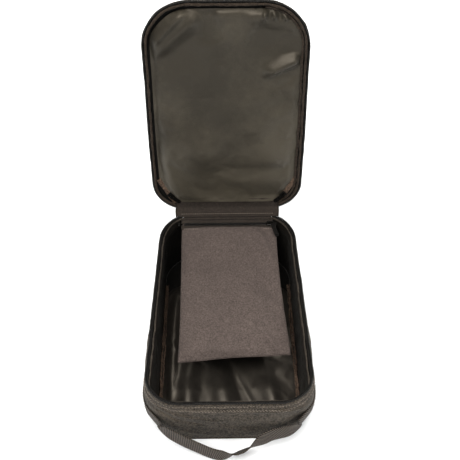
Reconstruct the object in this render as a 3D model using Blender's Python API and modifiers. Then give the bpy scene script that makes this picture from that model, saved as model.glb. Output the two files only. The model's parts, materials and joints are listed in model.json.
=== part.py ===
"""Soft zip-round carry case for tabletop miniatures, standing open, with a zipped inner pouch.

Run with: blender --background --python part.py
The frame: +Z up, -Y towards the carrying handle, +Y towards the lid's hinge. The origin is the middle
of the bottom panel's underside. Blender lengths are metres; the sizes below are in millimetres.
"""

import math

import bmesh
import bpy
from mathutils import Vector

MM = 0.001

# Driving sizes, in millimetres
WIDTH = 200.0
LENGTH = 298.0
BASE_HEIGHT = 102.0
CORNER_RADIUS = 48.0
CLOTH = 1.0
BOARD = 4.0
GAP = 0.3
HINGE_HALF_WIDTH = 74.0
COIL_WIDTH = 3.0
ARC_STEPS = 8

# Base, heights above the table and insets from the outline
BOTTOM_INSET = 4.3
PIPING_RADIUS = 2.0
WALL_LOW = 4.8
WALL_TOP = 90.0
LINING_LOW = 6.6
LINING_TOP = 96.0
LINING_INSET = 5.8
COIL_LOW = 98.4

# Lid, heights above the plane where it meets the base when it is shut
LID_OPEN_DEG = 100.0
LID_PIVOT_BACK = 1.5
LID_PIVOT_UP = 0.5
LID_LINING_Z = 4.5
LID_BOARD_Z = 5.8
LID_TOP_Z = 10.1
LID_RIM_INSET = 3.4
LID_RIM_WIDTH = 4.2
LID_LINING_INSET = 9.5

# Inner pouch
POUCH_WIDTH = 139.0
POUCH_LENGTH = 221.0
POUCH_PIVOT_Y = 138.3
POUCH_PIVOT_Z = 99.0
POUCH_DROOP_DEG = 7.7
POUCH_DEPTH = 4.0
ZIP_CENTRE = 9.0
POUCH_FACE_START = 16.5
POUCH_BACK_START = 3.0

# Zip sliders and their pulls
SLIDER_LENGTH = 9.0
SLIDER_WIDTH = 7.0
SLIDER_THICK = 2.0
BAIL_HEIGHT = 2.4
BAIL_BAR = 0.9
BAIL_THICK = 1.6
BAIL_POST_X = 3.0
PULL_LENGTH = 24.0
PULL_WIDTH = 5.4
PULL_THICK = 1.0
POUCH_SLIDER_X = 60.0
POUCH_PULL_DEG = -74.0
MAIN_SLIDER_RADIUS = 36.0
MAIN_SLIDER_DEG = 42.0
MAIN_PULL_LENGTH = 14.0
MAIN_PULL_DEG = 8.0

# Carrying handle of webbing
WEBBING_WIDTH = 22.0
WEBBING_THICK = 1.8
HANDLE_PIVOT_Y = -150.0
HANDLE_PIVOT_Z = 47.0
HANDLE_HALF_SPAN = 84.0
HANDLE_REACH = 38.0
HANDLE_DROOP_DEG = 51.0
TAB_BACK_Y = -88.0
TAB_LEAVES_DEG = 24.0
TAB_END_GAP = 3.2

# Corners of the rounded outline as (side across, side along), with the arc's start and end in degrees
RIGHT_BACK = (1, 1)
LEFT_BACK = (-1, 1)
LEFT_FRONT = (-1, -1)
RIGHT_FRONT = (1, -1)
ZIP_END_DEG = 54.0

ALL_ROUND = [(RIGHT_BACK, 0, 90), (LEFT_BACK, 90, 180), (LEFT_FRONT, 180, 270), (RIGHT_FRONT, 270, 360)]
FRONT_END = [(RIGHT_FRONT, 360, 270), (LEFT_FRONT, 270, 180)]
BACK_END = [(RIGHT_BACK, 0, 90), (LEFT_BACK, 90, 180)]
THREE_SIDES = [
    (RIGHT_BACK, ZIP_END_DEG, 0),
    (RIGHT_FRONT, 360, 270),
    (LEFT_FRONT, 270, 180),
    (LEFT_BACK, 180, 180 - ZIP_END_DEG),
]


# ---------------------------------------------------------------- scene, materials and frames


def clear_scene():
    for obj in list(bpy.data.objects):
        bpy.data.objects.remove(obj)


def new_collection(name):
    collection = bpy.data.collections.new(name)
    bpy.context.scene.collection.children.link(collection)
    return collection


def make_material(name, colour, roughness, metallic=0.0):
    material = bpy.data.materials.new(name)
    material.use_nodes = True
    shader = material.node_tree.nodes["Principled BSDF"]
    shader.inputs["Base Color"].default_value = (*colour, 1.0)
    shader.inputs["Roughness"].default_value = roughness
    shader.inputs["Metallic"].default_value = metallic
    return material


clear_scene()
CASE = new_collection("miniature_carry_case")
CUTTERS = new_collection("cutters")
WOVEN = make_material("woven_polyester", (0.085, 0.078, 0.066), 0.85)
POUCH_CLOTH = make_material("pouch_polyester", (0.14, 0.115, 0.102), 0.9)
COATED = make_material("coated_lining", (0.07, 0.063, 0.05), 0.42)
LINING = make_material("wall_lining", (0.03, 0.028, 0.024), 0.7)
BINDING = make_material("binding_tape", (0.08, 0.068, 0.06), 0.9)
WEBBING = make_material("webbing", (0.15, 0.13, 0.115), 0.8)
ZIP_TAPE = make_material("zip_tape", (0.02, 0.018, 0.017), 0.85)
ZIP_COIL = make_material("zip_coil", (0.018, 0.017, 0.016), 0.45)
FOAM = make_material("foam_board", (0.12, 0.12, 0.12), 0.95)
PLASTIC_BOARD = make_material("plastic_board", (0.06, 0.06, 0.06), 0.6)
BLACK_METAL = make_material("black_metal", (0.03, 0.03, 0.03), 0.35, 0.9)


def pivot(name, x, y, z, tilt_deg, parent=None):
    """An empty on a joint's axis, turned about X."""
    empty = bpy.data.objects.new(name, None)
    CASE.objects.link(empty)
    empty.location = (x * MM, y * MM, z * MM)
    empty.rotation_euler = (math.radians(tilt_deg), 0, 0)
    empty.parent = parent
    return empty


LID_PIVOT = pivot(
    "lid_pivot", 0, LENGTH / 2 + LID_PIVOT_BACK, BASE_HEIGHT + LID_PIVOT_UP, -LID_OPEN_DEG
)
POUCH_PIVOT = pivot("pouch_pivot", 0, POUCH_PIVOT_Y, POUCH_PIVOT_Z, POUCH_DROOP_DEG)
LID_MIDDLE_Y = -(LENGTH / 2 + LID_PIVOT_BACK)


# ---------------------------------------------------------------- outlines, in millimetres


def arc(centre_x, centre_y, radius, start_deg, end_deg, steps=ARC_STEPS):
    """Points along an arc, both ends included."""
    points = []
    for step in range(steps + 1):
        angle = math.radians(start_deg + (end_deg - start_deg) * step / steps)
        points.append((centre_x + radius * math.cos(angle), centre_y + radius * math.sin(angle)))
    return points


def path(stretches, inset):
    """The case's outline, moved inwards by inset, along the named corner arcs."""
    points = []
    for (side_x, side_y), start_deg, end_deg in stretches:
        centre_x = side_x * (WIDTH / 2 - CORNER_RADIUS)
        centre_y = side_y * (LENGTH / 2 - CORNER_RADIUS)
        points += arc(centre_x, centre_y, CORNER_RADIUS - inset, start_deg, end_deg)
    return points


def band(stretches, outer_inset, inner_inset):
    """One closed loop round a strip of the outline between two insets."""
    return [path(stretches, outer_inset) + path(stretches, inner_inset)[::-1]]


def ring(outer_inset, inner_inset):
    """Two loops: a strip that goes all the way round."""
    return [path(ALL_ROUND, outer_inset), path(ALL_ROUND, inner_inset)]


# ---------------------------------------------------------------- solids


def place(obj, material, parent, collection=None):
    obj.data.materials.clear()
    obj.data.materials.append(material)
    (collection or CASE).objects.link(obj)
    obj.parent = parent
    return obj


def flat_piece(name, loops, low, high, material, parent=None, centre_y=0.0):
    """A flat outline, with any inner loops as holes, between two heights."""
    curve = bpy.data.curves.new(name, "CURVE")
    curve.dimensions = "2D"
    curve.fill_mode = "BOTH"
    curve.extrude = (high - low) / 2 * MM
    for loop in loops:
        spline = curve.splines.new("POLY")
        spline.points.add(len(loop) - 1)
        spline.use_cyclic_u = True
        for point, (x, y) in zip(spline.points, loop):
            point.co = (x * MM, y * MM, 0, 1)
    obj = place(bpy.data.objects.new(name, curve), material, parent)
    obj.location = (0, centre_y * MM, (low + high) / 2 * MM)
    return obj


def profile_piece(name, outline_yz, half_width, material):
    """An outline in the plane across the hinge, carried along X from side to side."""
    obj = flat_piece(name, [outline_yz], -half_width, half_width, material)
    obj.rotation_euler = (math.pi / 2, 0, math.pi / 2)
    obj.location = (0, 0, 0)
    return obj


def box(name, low, high, material, parent=None):
    """A plain box between two corners."""
    mesh = bpy.data.meshes.new(name)
    shape = bmesh.new()
    bmesh.ops.create_cube(shape, size=1.0)
    size = Vector(high) - Vector(low)
    middle = (Vector(high) + Vector(low)) / 2
    for vertex in shape.verts:
        vertex.co = Vector((vertex.co[axis] * size[axis] + middle[axis] for axis in range(3))) * MM
    shape.to_mesh(mesh)
    shape.free()
    return place(bpy.data.objects.new(name, mesh), material, parent)


def tube(name, points, radius, material, parent=None, closed=True):
    """A round cord along points given in millimetres."""
    curve = bpy.data.curves.new(name, "CURVE")
    curve.dimensions = "3D"
    curve.bevel_depth = radius * MM
    curve.bevel_resolution = 2
    curve.use_fill_caps = not closed
    spline = curve.splines.new("POLY")
    spline.points.add(len(points) - 1)
    spline.use_cyclic_u = closed
    for point, (x, y, z) in zip(spline.points, points):
        point.co = (x * MM, y * MM, z * MM, 1)
    return place(bpy.data.objects.new(name, curve), material, parent)


# ---------------------------------------------------------------- base


def make_bottom():
    flat_piece("base_bottom_panel", [path(ALL_ROUND, BOTTOM_INSET)], 0, 1.2, WOVEN)
    flat_piece("base_bottom_board", [path(ALL_ROUND, 8.0)], 1.5, 4.2, PLASTIC_BOARD)
    flat_piece("floor_liner", [path(ALL_ROUND, 9.6)], 4.5, 5.7, COATED)
    flat_piece("floor_seam_binding", ring(7.2, 9.2), 4.5, 6.3, BINDING)
    piping_z = PIPING_RADIUS + 0.5
    loop = [(x, y, piping_z) for x, y in path(ALL_ROUND, PIPING_RADIUS)]
    tube("base_piping", loop, PIPING_RADIUS, WOVEN)


def make_straight_sides(kind, inset, thickness, low, high, material, shorten=0.0):
    """A left and a right flat piece along the case's straight stretches."""
    half_run = LENGTH / 2 - CORNER_RADIUS - GAP / 2 - shorten
    for side, sign in (("left", -1), ("right", 1)):
        near = sign * (WIDTH / 2 - inset - thickness)
        far = sign * (WIDTH / 2 - inset)
        box(
            f"{kind}_{side}",
            (min(near, far), -half_run, low),
            (max(near, far), half_run, high),
            material,
        )


def make_straight_ends(kind, inset, thickness, low, high, material):
    """A front and a back flat piece between the corner arcs."""
    half_run = WIDTH / 2 - CORNER_RADIUS
    for end, sign in (("front", -1), ("back", 1)):
        near = sign * (LENGTH / 2 - inset - thickness)
        far = sign * (LENGTH / 2 - inset)
        box(
            f"{kind}_{end}",
            (-half_run, min(near, far), low),
            (half_run, max(near, far), high),
            material,
        )


def make_walls():
    make_straight_sides("wall_panel", 0.0, CLOTH, WALL_LOW, WALL_TOP, WOVEN)
    flat_piece("wall_panel_front", band(FRONT_END, 0.0, CLOTH), WALL_LOW, WALL_TOP, WOVEN)
    flat_piece("wall_panel_back", band(BACK_END, 0.0, CLOTH), WALL_LOW, WALL_TOP, WOVEN)
    board_inset = CLOTH + GAP
    make_straight_sides("foam_board", board_inset, BOARD, WALL_LOW, WALL_TOP - 2, FOAM)
    make_straight_ends("foam_board", board_inset, BOARD, WALL_LOW, WALL_TOP - 2, FOAM)
    make_straight_sides("wall_lining", LINING_INSET, CLOTH, LINING_LOW, LINING_TOP, LINING)
    inner = LINING_INSET + CLOTH
    flat_piece("wall_lining_front", band(FRONT_END, LINING_INSET, inner), LINING_LOW, LINING_TOP, LINING)
    flat_piece("wall_lining_back", band(BACK_END, LINING_INSET, inner), LINING_LOW, LINING_TOP, LINING)


def make_rim():
    """The base's half of the main zip, and the binding inside it."""
    tape_low = WALL_TOP + GAP
    flat_piece("base_zip_tape", band(THREE_SIDES, 0.2, 1.2), tape_low, COIL_LOW - GAP, ZIP_TAPE)
    flat_piece("base_zip_coil", band(THREE_SIDES, 0.0, COIL_WIDTH), COIL_LOW, BASE_HEIGHT, ZIP_COIL)
    binding = band(THREE_SIDES, COIL_WIDTH + 0.4, LINING_INSET + CLOTH)
    flat_piece("base_rim_binding", binding, LINING_TOP + GAP, BASE_HEIGHT - 0.6, BINDING)


# ---------------------------------------------------------------- hinge


def lid_point(along, outwards):
    """Where a point of the standing lid is, as (y, z): along it from the hinge, and out from its inner face."""
    angle = math.radians(LID_OPEN_DEG)
    y = LENGTH / 2 + LID_PIVOT_BACK - along * math.cos(angle) + outwards * math.sin(angle)
    z = BASE_HEIGHT + LID_PIVOT_UP + along * math.sin(angle) + outwards * math.cos(angle)
    return (y, z)


def make_hinge():
    """Two cloth strips that join the base's back wall to the lid: one outside, one inside."""
    back = LENGTH / 2
    outer = [
        (back - 0.2, WALL_TOP + 1.0),
        (back + 0.9, WALL_TOP + 1.0),
        (back + 0.9, BASE_HEIGHT - 0.9),
        lid_point(-0.6, 2.0),
        lid_point(-0.6, 12.0),
        lid_point(0.4, 12.0),
        lid_point(0.4, 0.6),
        (back - 0.2, BASE_HEIGHT + 0.3),
    ]
    profile_piece("hinge_strip_outer", outer, HINGE_HALF_WIDTH, WOVEN)
    inner = [
        (back - 5.8, BASE_HEIGHT - 1.4),
        (back - 5.2, BASE_HEIGHT - 2.2),
        lid_point(5.0, 4.1),
        lid_point(18.2, 4.1),
        lid_point(18.2, 3.1),
        lid_point(6.0, 3.1),
    ]
    profile_piece("hinge_strip_inner", inner, HINGE_HALF_WIDTH, POUCH_CLOTH)
    header_low = (-POUCH_WIDTH / 2 + 4, POUCH_PIVOT_Y + 0.2, LINING_TOP + GAP)
    header_high = (POUCH_WIDTH / 2 - 4, LENGTH / 2 - LINING_INSET, LINING_TOP + GAP + 1.4)
    box("pouch_header", header_low, header_high, WOVEN)


# ---------------------------------------------------------------- lid


def lid_piece(name, loops, low, high, material):
    return flat_piece(name, loops, low, high, material, LID_PIVOT, LID_MIDDLE_Y)


def lid_lining_outline():
    """Rounded at the free end, with its corners cut off at the hinge end to leave room for the sliders."""
    back = LENGTH / 2
    free_end = path(FRONT_END, LID_LINING_INSET)
    cut_corners = [(-90.5, back - 56), (-68, back - 17.5), (68, back - 17.5), (90.5, back - 56)]
    return free_end + cut_corners


def make_lid():
    lid_piece("lid_zip_coil", band(THREE_SIDES, 0.0, COIL_WIDTH), 0, 2.5, ZIP_COIL)
    lid_piece("lid_zip_tape", band(THREE_SIDES, 0.2, 1.2), 2.8, 5.2, ZIP_TAPE)
    rim_end = LID_RIM_INSET + LID_RIM_WIDTH
    lid_piece("lid_rim_binding", band(THREE_SIDES, LID_RIM_INSET, rim_end), 0.4, 5.2, BINDING)
    lid_piece("lid_lining", [lid_lining_outline()], LID_LINING_Z, LID_LINING_Z + CLOTH, COATED)
    lid_piece("lid_gusset", ring(0.0, CLOTH), 5.5, LID_TOP_Z, WOVEN)
    lid_piece("lid_board", [path(ALL_ROUND, 2.0)], LID_BOARD_Z, LID_TOP_Z - GAP, FOAM)
    lid_piece("lid_top_panel", [path(ALL_ROUND, 3.2)], LID_TOP_Z, LID_TOP_Z + 1.2, WOVEN)
    loop = [(x, y + LID_MIDDLE_Y, LID_TOP_Z + 1.6) for x, y in path(ALL_ROUND, 1.4)]
    tube("lid_piping", loop, 1.3, WOVEN, LID_PIVOT)


# ---------------------------------------------------------------- zip sliders


def rounded_bar(length, width, nose_deg=90):
    """A tab outline along +X from the origin, its far end rounded."""
    radius = width / 2
    return [(0, -radius)] + arc(length - radius, 0, radius, -nose_deg, nose_deg) + [(0, radius)]


def hidden_cutter(obj):
    """A helper that a Boolean joins or cuts, left out of the model."""
    CUTTERS.objects.link(obj)
    obj.hide_render = True
    obj.display_type = "WIRE"
    return obj


def box_mesh(name, low, high):
    mesh = bpy.data.meshes.new(name)
    shape = bmesh.new()
    bmesh.ops.create_cube(shape, size=1.0)
    for vertex in shape.verts:
        vertex.co = Vector(
            ((high[a] - low[a]) * vertex.co[a] + (high[a] + low[a]) / 2) * MM for a in range(3)
        )
    shape.to_mesh(mesh)
    shape.free()
    return mesh


def make_slider(name, parent, location, turn_deg, flipped=False):
    """A slider: a plate with a bail over it. It travels along its own X."""
    half_l = SLIDER_LENGTH / 2
    half_w = SLIDER_WIDTH / 2
    mesh = box_mesh(name, (-half_l, -half_w, 0), (half_l, half_w, SLIDER_THICK))
    body = place(bpy.data.objects.new(name, mesh), BLACK_METAL, parent)
    bevel = body.modifiers.new("edges", "BEVEL")
    bevel.width = 0.5 * MM
    bevel.segments = 2
    half_t = BAIL_THICK / 2
    reach = BAIL_POST_X + BAIL_BAR / 2
    top = SLIDER_THICK + BAIL_HEIGHT
    pieces = {
        "front_post": ((reach - BAIL_BAR, -half_t, SLIDER_THICK / 2), (reach, half_t, top - 0.1)),
        "rear_post": ((-reach, -half_t, SLIDER_THICK / 2), (-reach + BAIL_BAR, half_t, top - 0.1)),
        "bar": ((-reach - 0.05, -half_t - 0.05, top - BAIL_BAR), (reach + 0.05, half_t + 0.05, top)),
    }
    for piece, (low, high) in pieces.items():
        helper = hidden_cutter(
            bpy.data.objects.new(f"{name}_{piece}", box_mesh(f"{name}_{piece}", low, high))
        )
        helper.parent = body
        union = body.modifiers.new(piece, "BOOLEAN")
        union.operation = "UNION"
        union.object = helper
    body.location = [value * MM for value in location]
    body.rotation_euler = (math.pi if flipped else 0, 0, math.radians(turn_deg))
    return body


def make_pull(name, slider, length, turn_deg):
    """A flat tab with an eye round the slider's front post, free to turn about it."""
    low = SLIDER_THICK + 0.25
    loops = [
        [(x - 2.6, y) for x, y in rounded_bar(length + 2.6, PULL_WIDTH)],
        arc(0.3, 0, 1.7, 0, 360 - 360 / ARC_STEPS, ARC_STEPS - 1),
        arc(length - PULL_WIDTH / 2, 0, 1.1, 0, 360 - 360 / ARC_STEPS, ARC_STEPS - 1),
    ]
    pull = flat_piece(name, loops, low, low + PULL_THICK, BLACK_METAL, slider)
    pull.location = (BAIL_POST_X * MM, 0, (low + PULL_THICK / 2) * MM)
    pull.rotation_euler = (0, 0, math.radians(turn_deg))
    return pull


def make_main_sliders():
    """The two sliders of the main zip, parked at its ends beside the hinge."""
    centre_y = LENGTH / 2 - CORNER_RADIUS + LID_MIDDLE_Y
    angle = math.radians(MAIN_SLIDER_DEG)
    for side, sign in (("left", -1), ("right", 1)):
        x = sign * (WIDTH / 2 - CORNER_RADIUS + MAIN_SLIDER_RADIUS * math.cos(angle))
        y = centre_y + MAIN_SLIDER_RADIUS * math.sin(angle)
        turn = 90 + sign * MAIN_SLIDER_DEG
        slider = make_slider(f"{side}_slider", LID_PIVOT, (x, y, LID_LINING_Z - 0.3), turn, True)
        make_pull(f"{side}_pull", slider, MAIN_PULL_LENGTH, -sign * MAIN_PULL_DEG)


def make_zip_ends():
    """Folded tape ends that close the main zip beside the hinge."""
    for side, sign in (("left", -1), ("right", 1)):
        outline = [
            (sign * (HINGE_HALF_WIDTH - 6.5), LENGTH / 2 - 13),
            (sign * (HINGE_HALF_WIDTH - 6.5), LENGTH / 2 - 5.5),
            (sign * (HINGE_HALF_WIDTH + 1.0), LENGTH / 2 - 7.5),
            (sign * (HINGE_HALF_WIDTH + 1.0), LENGTH / 2 - 13),
        ]
        lid_piece(f"zip_end_{side}", [outline], 4.5, 5.5, BINDING)


# ---------------------------------------------------------------- pouch


def pouch_strip(name, start, end, low, high, material, half_width=POUCH_WIDTH / 2):
    """A box across the pouch between two distances from its pivot."""
    return box(name, (-half_width, -end, low), (half_width, -start, high), material, POUCH_PIVOT)


def make_pouch():
    pouch_strip(
        "pouch_back_panel", POUCH_BACK_START, POUCH_LENGTH, -POUCH_DEPTH, CLOTH - POUCH_DEPTH, POUCH_CLOTH
    )
    pouch_strip("pouch_front_panel", POUCH_FACE_START, POUCH_LENGTH, -CLOTH, 0, POUCH_CLOTH)
    pouch_strip("pouch_zip_tape_upper", 1.0, ZIP_CENTRE - 3.3, -1.5, -0.5, ZIP_TAPE)
    pouch_strip("pouch_zip_tape_lower", ZIP_CENTRE + 3.3, POUCH_FACE_START - GAP, -1.5, -0.5, ZIP_TAPE)
    chain_half = POUCH_WIDTH / 2 - 3.0
    pouch_strip("pouch_zip_coil", ZIP_CENTRE - 3.0, ZIP_CENTRE + 3.0, -1.6, -0.2, ZIP_COIL, chain_half)
    for side, sign in (("left", -1), ("right", 1)):
        edge = sign * POUCH_WIDTH / 2
        inner = edge - sign * 2.7
        box(
            f"pouch_zip_stop_{side}",
            (min(edge, inner), -ZIP_CENTRE - 2.8, -1.8),
            (max(edge, inner), -ZIP_CENTRE + 2.8, 0),
            BLACK_METAL,
            POUCH_PIVOT,
        )
    # the seam allowance that closes the pouch's sides and end, between its two panels
    inner_half = POUCH_WIDTH / 2 - 4.0
    end = -POUCH_LENGTH + 4.0
    start = -POUCH_FACE_START - 2.0
    outline = [
        (-POUCH_WIDTH / 2, start),
        (-POUCH_WIDTH / 2, -POUCH_LENGTH),
        (POUCH_WIDTH / 2, -POUCH_LENGTH),
        (POUCH_WIDTH / 2, start),
        (inner_half, start),
        (inner_half, end),
        (-inner_half, end),
        (-inner_half, start),
    ]
    flat_piece(
        "pouch_seam", [outline], -POUCH_DEPTH + CLOTH + GAP, -CLOTH - GAP, POUCH_CLOTH, POUCH_PIVOT
    )
    slider = make_slider("pouch_slider", POUCH_PIVOT, (POUCH_SLIDER_X, -ZIP_CENTRE, 0.1), 0)
    make_pull("pouch_pull", slider, PULL_LENGTH, POUCH_PULL_DEG)


# ---------------------------------------------------------------- handle


def webbing_strip(name, middles, width_vectors, material):
    """A ribbon through the given middles, as wide as the webbing along the given directions."""
    shape = bmesh.new()
    rows = []
    for middle, width_vector in zip(middles, width_vectors):
        reach = Vector(width_vector).normalized() * WEBBING_WIDTH / 2
        rows.append([shape.verts.new((Vector(middle) + side * reach) * MM) for side in (-1, 1)])
    for (low_a, high_a), (low_b, high_b) in zip(rows, rows[1:]):
        shape.faces.new((low_a, low_b, high_b, high_a))
    mesh = bpy.data.meshes.new(name)
    shape.to_mesh(mesh)
    shape.free()
    obj = place(bpy.data.objects.new(name, mesh), material, None)
    solidify = obj.modifiers.new("thickness", "SOLIDIFY")
    solidify.thickness = WEBBING_THICK * MM
    solidify.offset = 0
    return obj


def handle_middle(share):
    """A point on the hanging loop. share runs from -1 at its left end to 1 at its right end."""
    droop = math.radians(HANDLE_DROOP_DEG)
    x = HANDLE_HALF_SPAN * share
    reach = HANDLE_REACH * (1 - abs(share) ** 1.7) + 1.0
    y = HANDLE_PIVOT_Y - reach * math.cos(droop)
    z = HANDLE_PIVOT_Z - reach * math.sin(droop)
    return (x, y, z)


def handle_lean(share):
    """The webbing stands on its edge at both ends and leans forward where it is twisted."""
    lean = math.radians(32) * math.exp(-(((share - 0.18) / 0.3) ** 2))
    return (0, -math.sin(lean), math.cos(lean))


def tab_middles(side):
    """Along the case's side, round the start of its front corner, then straight to the handle's end."""
    radius = CORNER_RADIUS + GAP + WEBBING_THICK / 2
    centre_x = WIDTH / 2 - CORNER_RADIUS
    centre_y = -(LENGTH / 2 - CORNER_RADIUS)
    points = [(centre_x + radius, TAB_BACK_Y)]
    points += arc(centre_x, centre_y, radius, 0, -TAB_LEAVES_DEG, 4)
    last = Vector(points[-1])
    handle_end = Vector((HANDLE_HALF_SPAN, HANDLE_PIVOT_Y))
    points.append(tuple(handle_end + (last - handle_end).normalized() * TAB_END_GAP))
    return [(side * x, y, HANDLE_PIVOT_Z) for x, y in points]


def make_handle():
    steps = 36
    shares = [-1 + 2 * step / steps for step in range(steps + 1)]
    # even steps across would leave long ones near the ends, so the ends are drawn in
    shares = [math.copysign(abs(share) ** 0.8, share) for share in shares]
    webbing_strip(
        "handle_webbing",
        [handle_middle(share) for share in shares],
        [handle_lean(share) for share in shares],
        WEBBING,
    )
    for side, sign in (("left", -1), ("right", 1)):
        middles = tab_middles(sign)
        webbing_strip(f"handle_tab_{side}", middles, [(0, 0, 1)] * len(middles), WEBBING)


make_bottom()
make_walls()
make_rim()
make_hinge()
make_lid()
make_zip_ends()
make_main_sliders()
make_pouch()
make_handle()
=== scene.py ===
"""Looks of a soft carry case for tabletop miniatures: cloth, linings, zips, pouch and webbing handle.

Everything is in metres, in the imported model's frame: +Z up, -Y towards the handle, +Y towards the hinge.
"""

import json
import math

import bmesh
import bpy
import numpy as np
from mathutils import Matrix, Vector, noise


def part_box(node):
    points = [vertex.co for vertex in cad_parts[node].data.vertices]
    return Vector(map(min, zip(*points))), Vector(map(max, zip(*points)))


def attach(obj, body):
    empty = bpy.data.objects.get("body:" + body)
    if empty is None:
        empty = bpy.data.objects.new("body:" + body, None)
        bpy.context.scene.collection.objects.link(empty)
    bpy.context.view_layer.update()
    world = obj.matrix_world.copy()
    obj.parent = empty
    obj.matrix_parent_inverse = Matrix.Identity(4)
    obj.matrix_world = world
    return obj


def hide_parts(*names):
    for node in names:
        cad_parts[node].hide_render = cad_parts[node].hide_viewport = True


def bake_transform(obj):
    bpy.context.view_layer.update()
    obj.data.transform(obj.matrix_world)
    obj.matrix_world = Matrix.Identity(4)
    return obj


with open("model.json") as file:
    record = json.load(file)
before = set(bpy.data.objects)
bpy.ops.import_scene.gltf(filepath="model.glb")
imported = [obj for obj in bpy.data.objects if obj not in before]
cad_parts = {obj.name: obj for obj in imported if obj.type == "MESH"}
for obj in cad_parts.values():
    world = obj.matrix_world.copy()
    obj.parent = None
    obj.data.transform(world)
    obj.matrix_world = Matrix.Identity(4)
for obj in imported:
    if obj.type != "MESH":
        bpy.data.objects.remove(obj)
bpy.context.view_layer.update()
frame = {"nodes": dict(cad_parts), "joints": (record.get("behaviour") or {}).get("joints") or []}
MM = 0.001

# ---------------------------------------------------------------- places, from the frame

JOINTS = {joint["name"]: joint for joint in frame["joints"]}
RIM_LOW, RIM_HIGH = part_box("base_zip_coil")
HALF_WIDTH = RIM_HIGH.x
HALF_LENGTH = -RIM_LOW.y
RIM_Z = RIM_HIGH.z
WALL_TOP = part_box("wall_panel_front")[1].z
WALL_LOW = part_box("wall_panel_front")[0].z
FLOOR_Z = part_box("floor_liner")[1].z
# corner radii, at the handle's end and at the hinge's end
BASE_CORNERS = (0.042, 0.051)
INNER_CORNERS = (0.034, 0.051)
LID_CORNERS = (0.058, 0.044)
LINING_CORNERS = (0.050, 0.033)
# how far round the hinge-side corners the zip goes
ZIP_END = math.radians(68)

LID_PIVOT = Vector(JOINTS["lid_hinge"]["pos_m"])
LID_OPEN = -math.radians(JOINTS["lid_hinge"]["range_deg"][0])
LID = Matrix.Translation(LID_PIVOT) @ Matrix.Rotation(-LID_OPEN, 4, "X") @ Matrix.Translation(
    (0, -LID_PIVOT.y, 0)
)
POUCH_PIVOT = Vector(JOINTS["pouch_hinge"]["pos_m"])
POUCH_DROOP = math.radians(7.7)
POUCH = Matrix.Translation(POUCH_PIVOT) @ Matrix.Rotation(POUCH_DROOP, 4, "X")
POUCH_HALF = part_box("pouch_front_panel")[1].x
# lengths along the pouch, from its pivot: its free end, its zip and the seam below the zip
POUCH_LENGTH = 0.221
ZIP_ALONG = 0.009
POUCH_SEAM_ALONG = 18 * MM
HINGE_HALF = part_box("hinge_strip_inner")[1].x - 2 * MM

HANDLE_PIVOT = Vector(JOINTS["handle_swing"]["pos_m"])
HANDLE_HALF = 84 * MM
STRAP_HALF = 11 * MM
STRAP_HALF_THICKNESS = 0.9 * MM

# heights of the lid's layers above its rim, while it is closed
LID_BACKING = 6.3 * MM
LID_BOARD = 9.8 * MM
LID_TOP = 10.8 * MM

COIL_PITCH = 1.35 * MM
# length, gap and radius of the larger stitches
COARSE = (1.7 * MM, 1.5 * MM, 0.5 * MM)


# ---------------------------------------------------------------- materials


def node(tree, kind, inputs=None, **settings):
    """A node with its settings and its inputs, each a value or another node's output."""
    made = tree.nodes.new(kind)
    for key, value in settings.items():
        setattr(made, key, value)
    for key, value in (inputs or {}).items():
        if isinstance(value, bpy.types.NodeSocket):
            tree.links.new(value, made.inputs[key])
        else:
            made.inputs[key].default_value = value
    return made


def maths(tree, operation, first, second=0.0):
    return node(tree, "ShaderNodeMath", {0: first, 1: second}, operation=operation).outputs[0]


def new_material(name, **shader_inputs):
    """A material, its tree and its Principled shader with the given constant inputs."""
    material = bpy.data.materials.new(name)
    material.use_nodes = True
    tree = material.node_tree
    shader = tree.nodes["Principled BSDF"]
    for key, value in shader_inputs.items():
        shader.inputs[key.replace("_", " ")].default_value = value
    return material, tree, shader


def cloth_vector(tree, pitch):
    """The cloth's own coordinates, in threads: its UVs run in metres."""
    uv = node(tree, "ShaderNodeTexCoord").outputs["UV"]
    scaled = node(tree, "ShaderNodeVectorMath", {0: uv, "Scale": 1 / pitch}, operation="SCALE")
    return node(tree, "ShaderNodeSeparateXYZ", {0: scaled.outputs[0]}).outputs


def thread_height(tree, pitch, twill):
    """Height of woven threads, from 0 to 1: plain weave, or twill with diagonal ribs."""
    across, along = cloth_vector(tree, pitch)[:2]
    if twill:
        slanted = maths(tree, "ADD", across, maths(tree, "MULTIPLY", along, 0.5))
        rib = maths(tree, "SINE", maths(tree, "MULTIPLY", slanted, math.tau))
        thread = maths(tree, "SINE", maths(tree, "MULTIPLY", along, 2 * math.tau))
        both = maths(tree, "ADD", rib, maths(tree, "MULTIPLY", thread, 0.35))
        return maths(tree, "ADD", maths(tree, "MULTIPLY", both, 0.37), 0.5)
    warp = maths(tree, "SINE", maths(tree, "MULTIPLY", across, math.pi))
    weft = maths(tree, "SINE", maths(tree, "MULTIPLY", along, math.pi))
    over = maths(tree, "MULTIPLY", warp, weft)
    return maths(tree, "ADD", maths(tree, "MULTIPLY", over, 0.5), 0.5)


def speckle(tree, size, detail=2.0):
    """Noise in the piece's own space, with spots of about this size."""
    place = node(tree, "ShaderNodeTexCoord").outputs["Object"]
    return node(
        tree, "ShaderNodeTexNoise", {"Vector": place, "Scale": 1 / size, "Detail": detail}
    ).outputs["Fac"]


def colour_by(tree, shader, factor, stops):
    """Base colour from a ramp of (position, colour) stops."""
    made = node(tree, "ShaderNodeValToRGB", {"Fac": factor})
    elements = made.color_ramp.elements
    while len(elements) < len(stops):
        elements.new(0.5)
    for element, (position, colour) in zip(elements, stops):
        element.position = position
        element.color = (*colour, 1)
    tree.links.new(made.outputs["Color"], shader.inputs["Base Color"])


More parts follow.
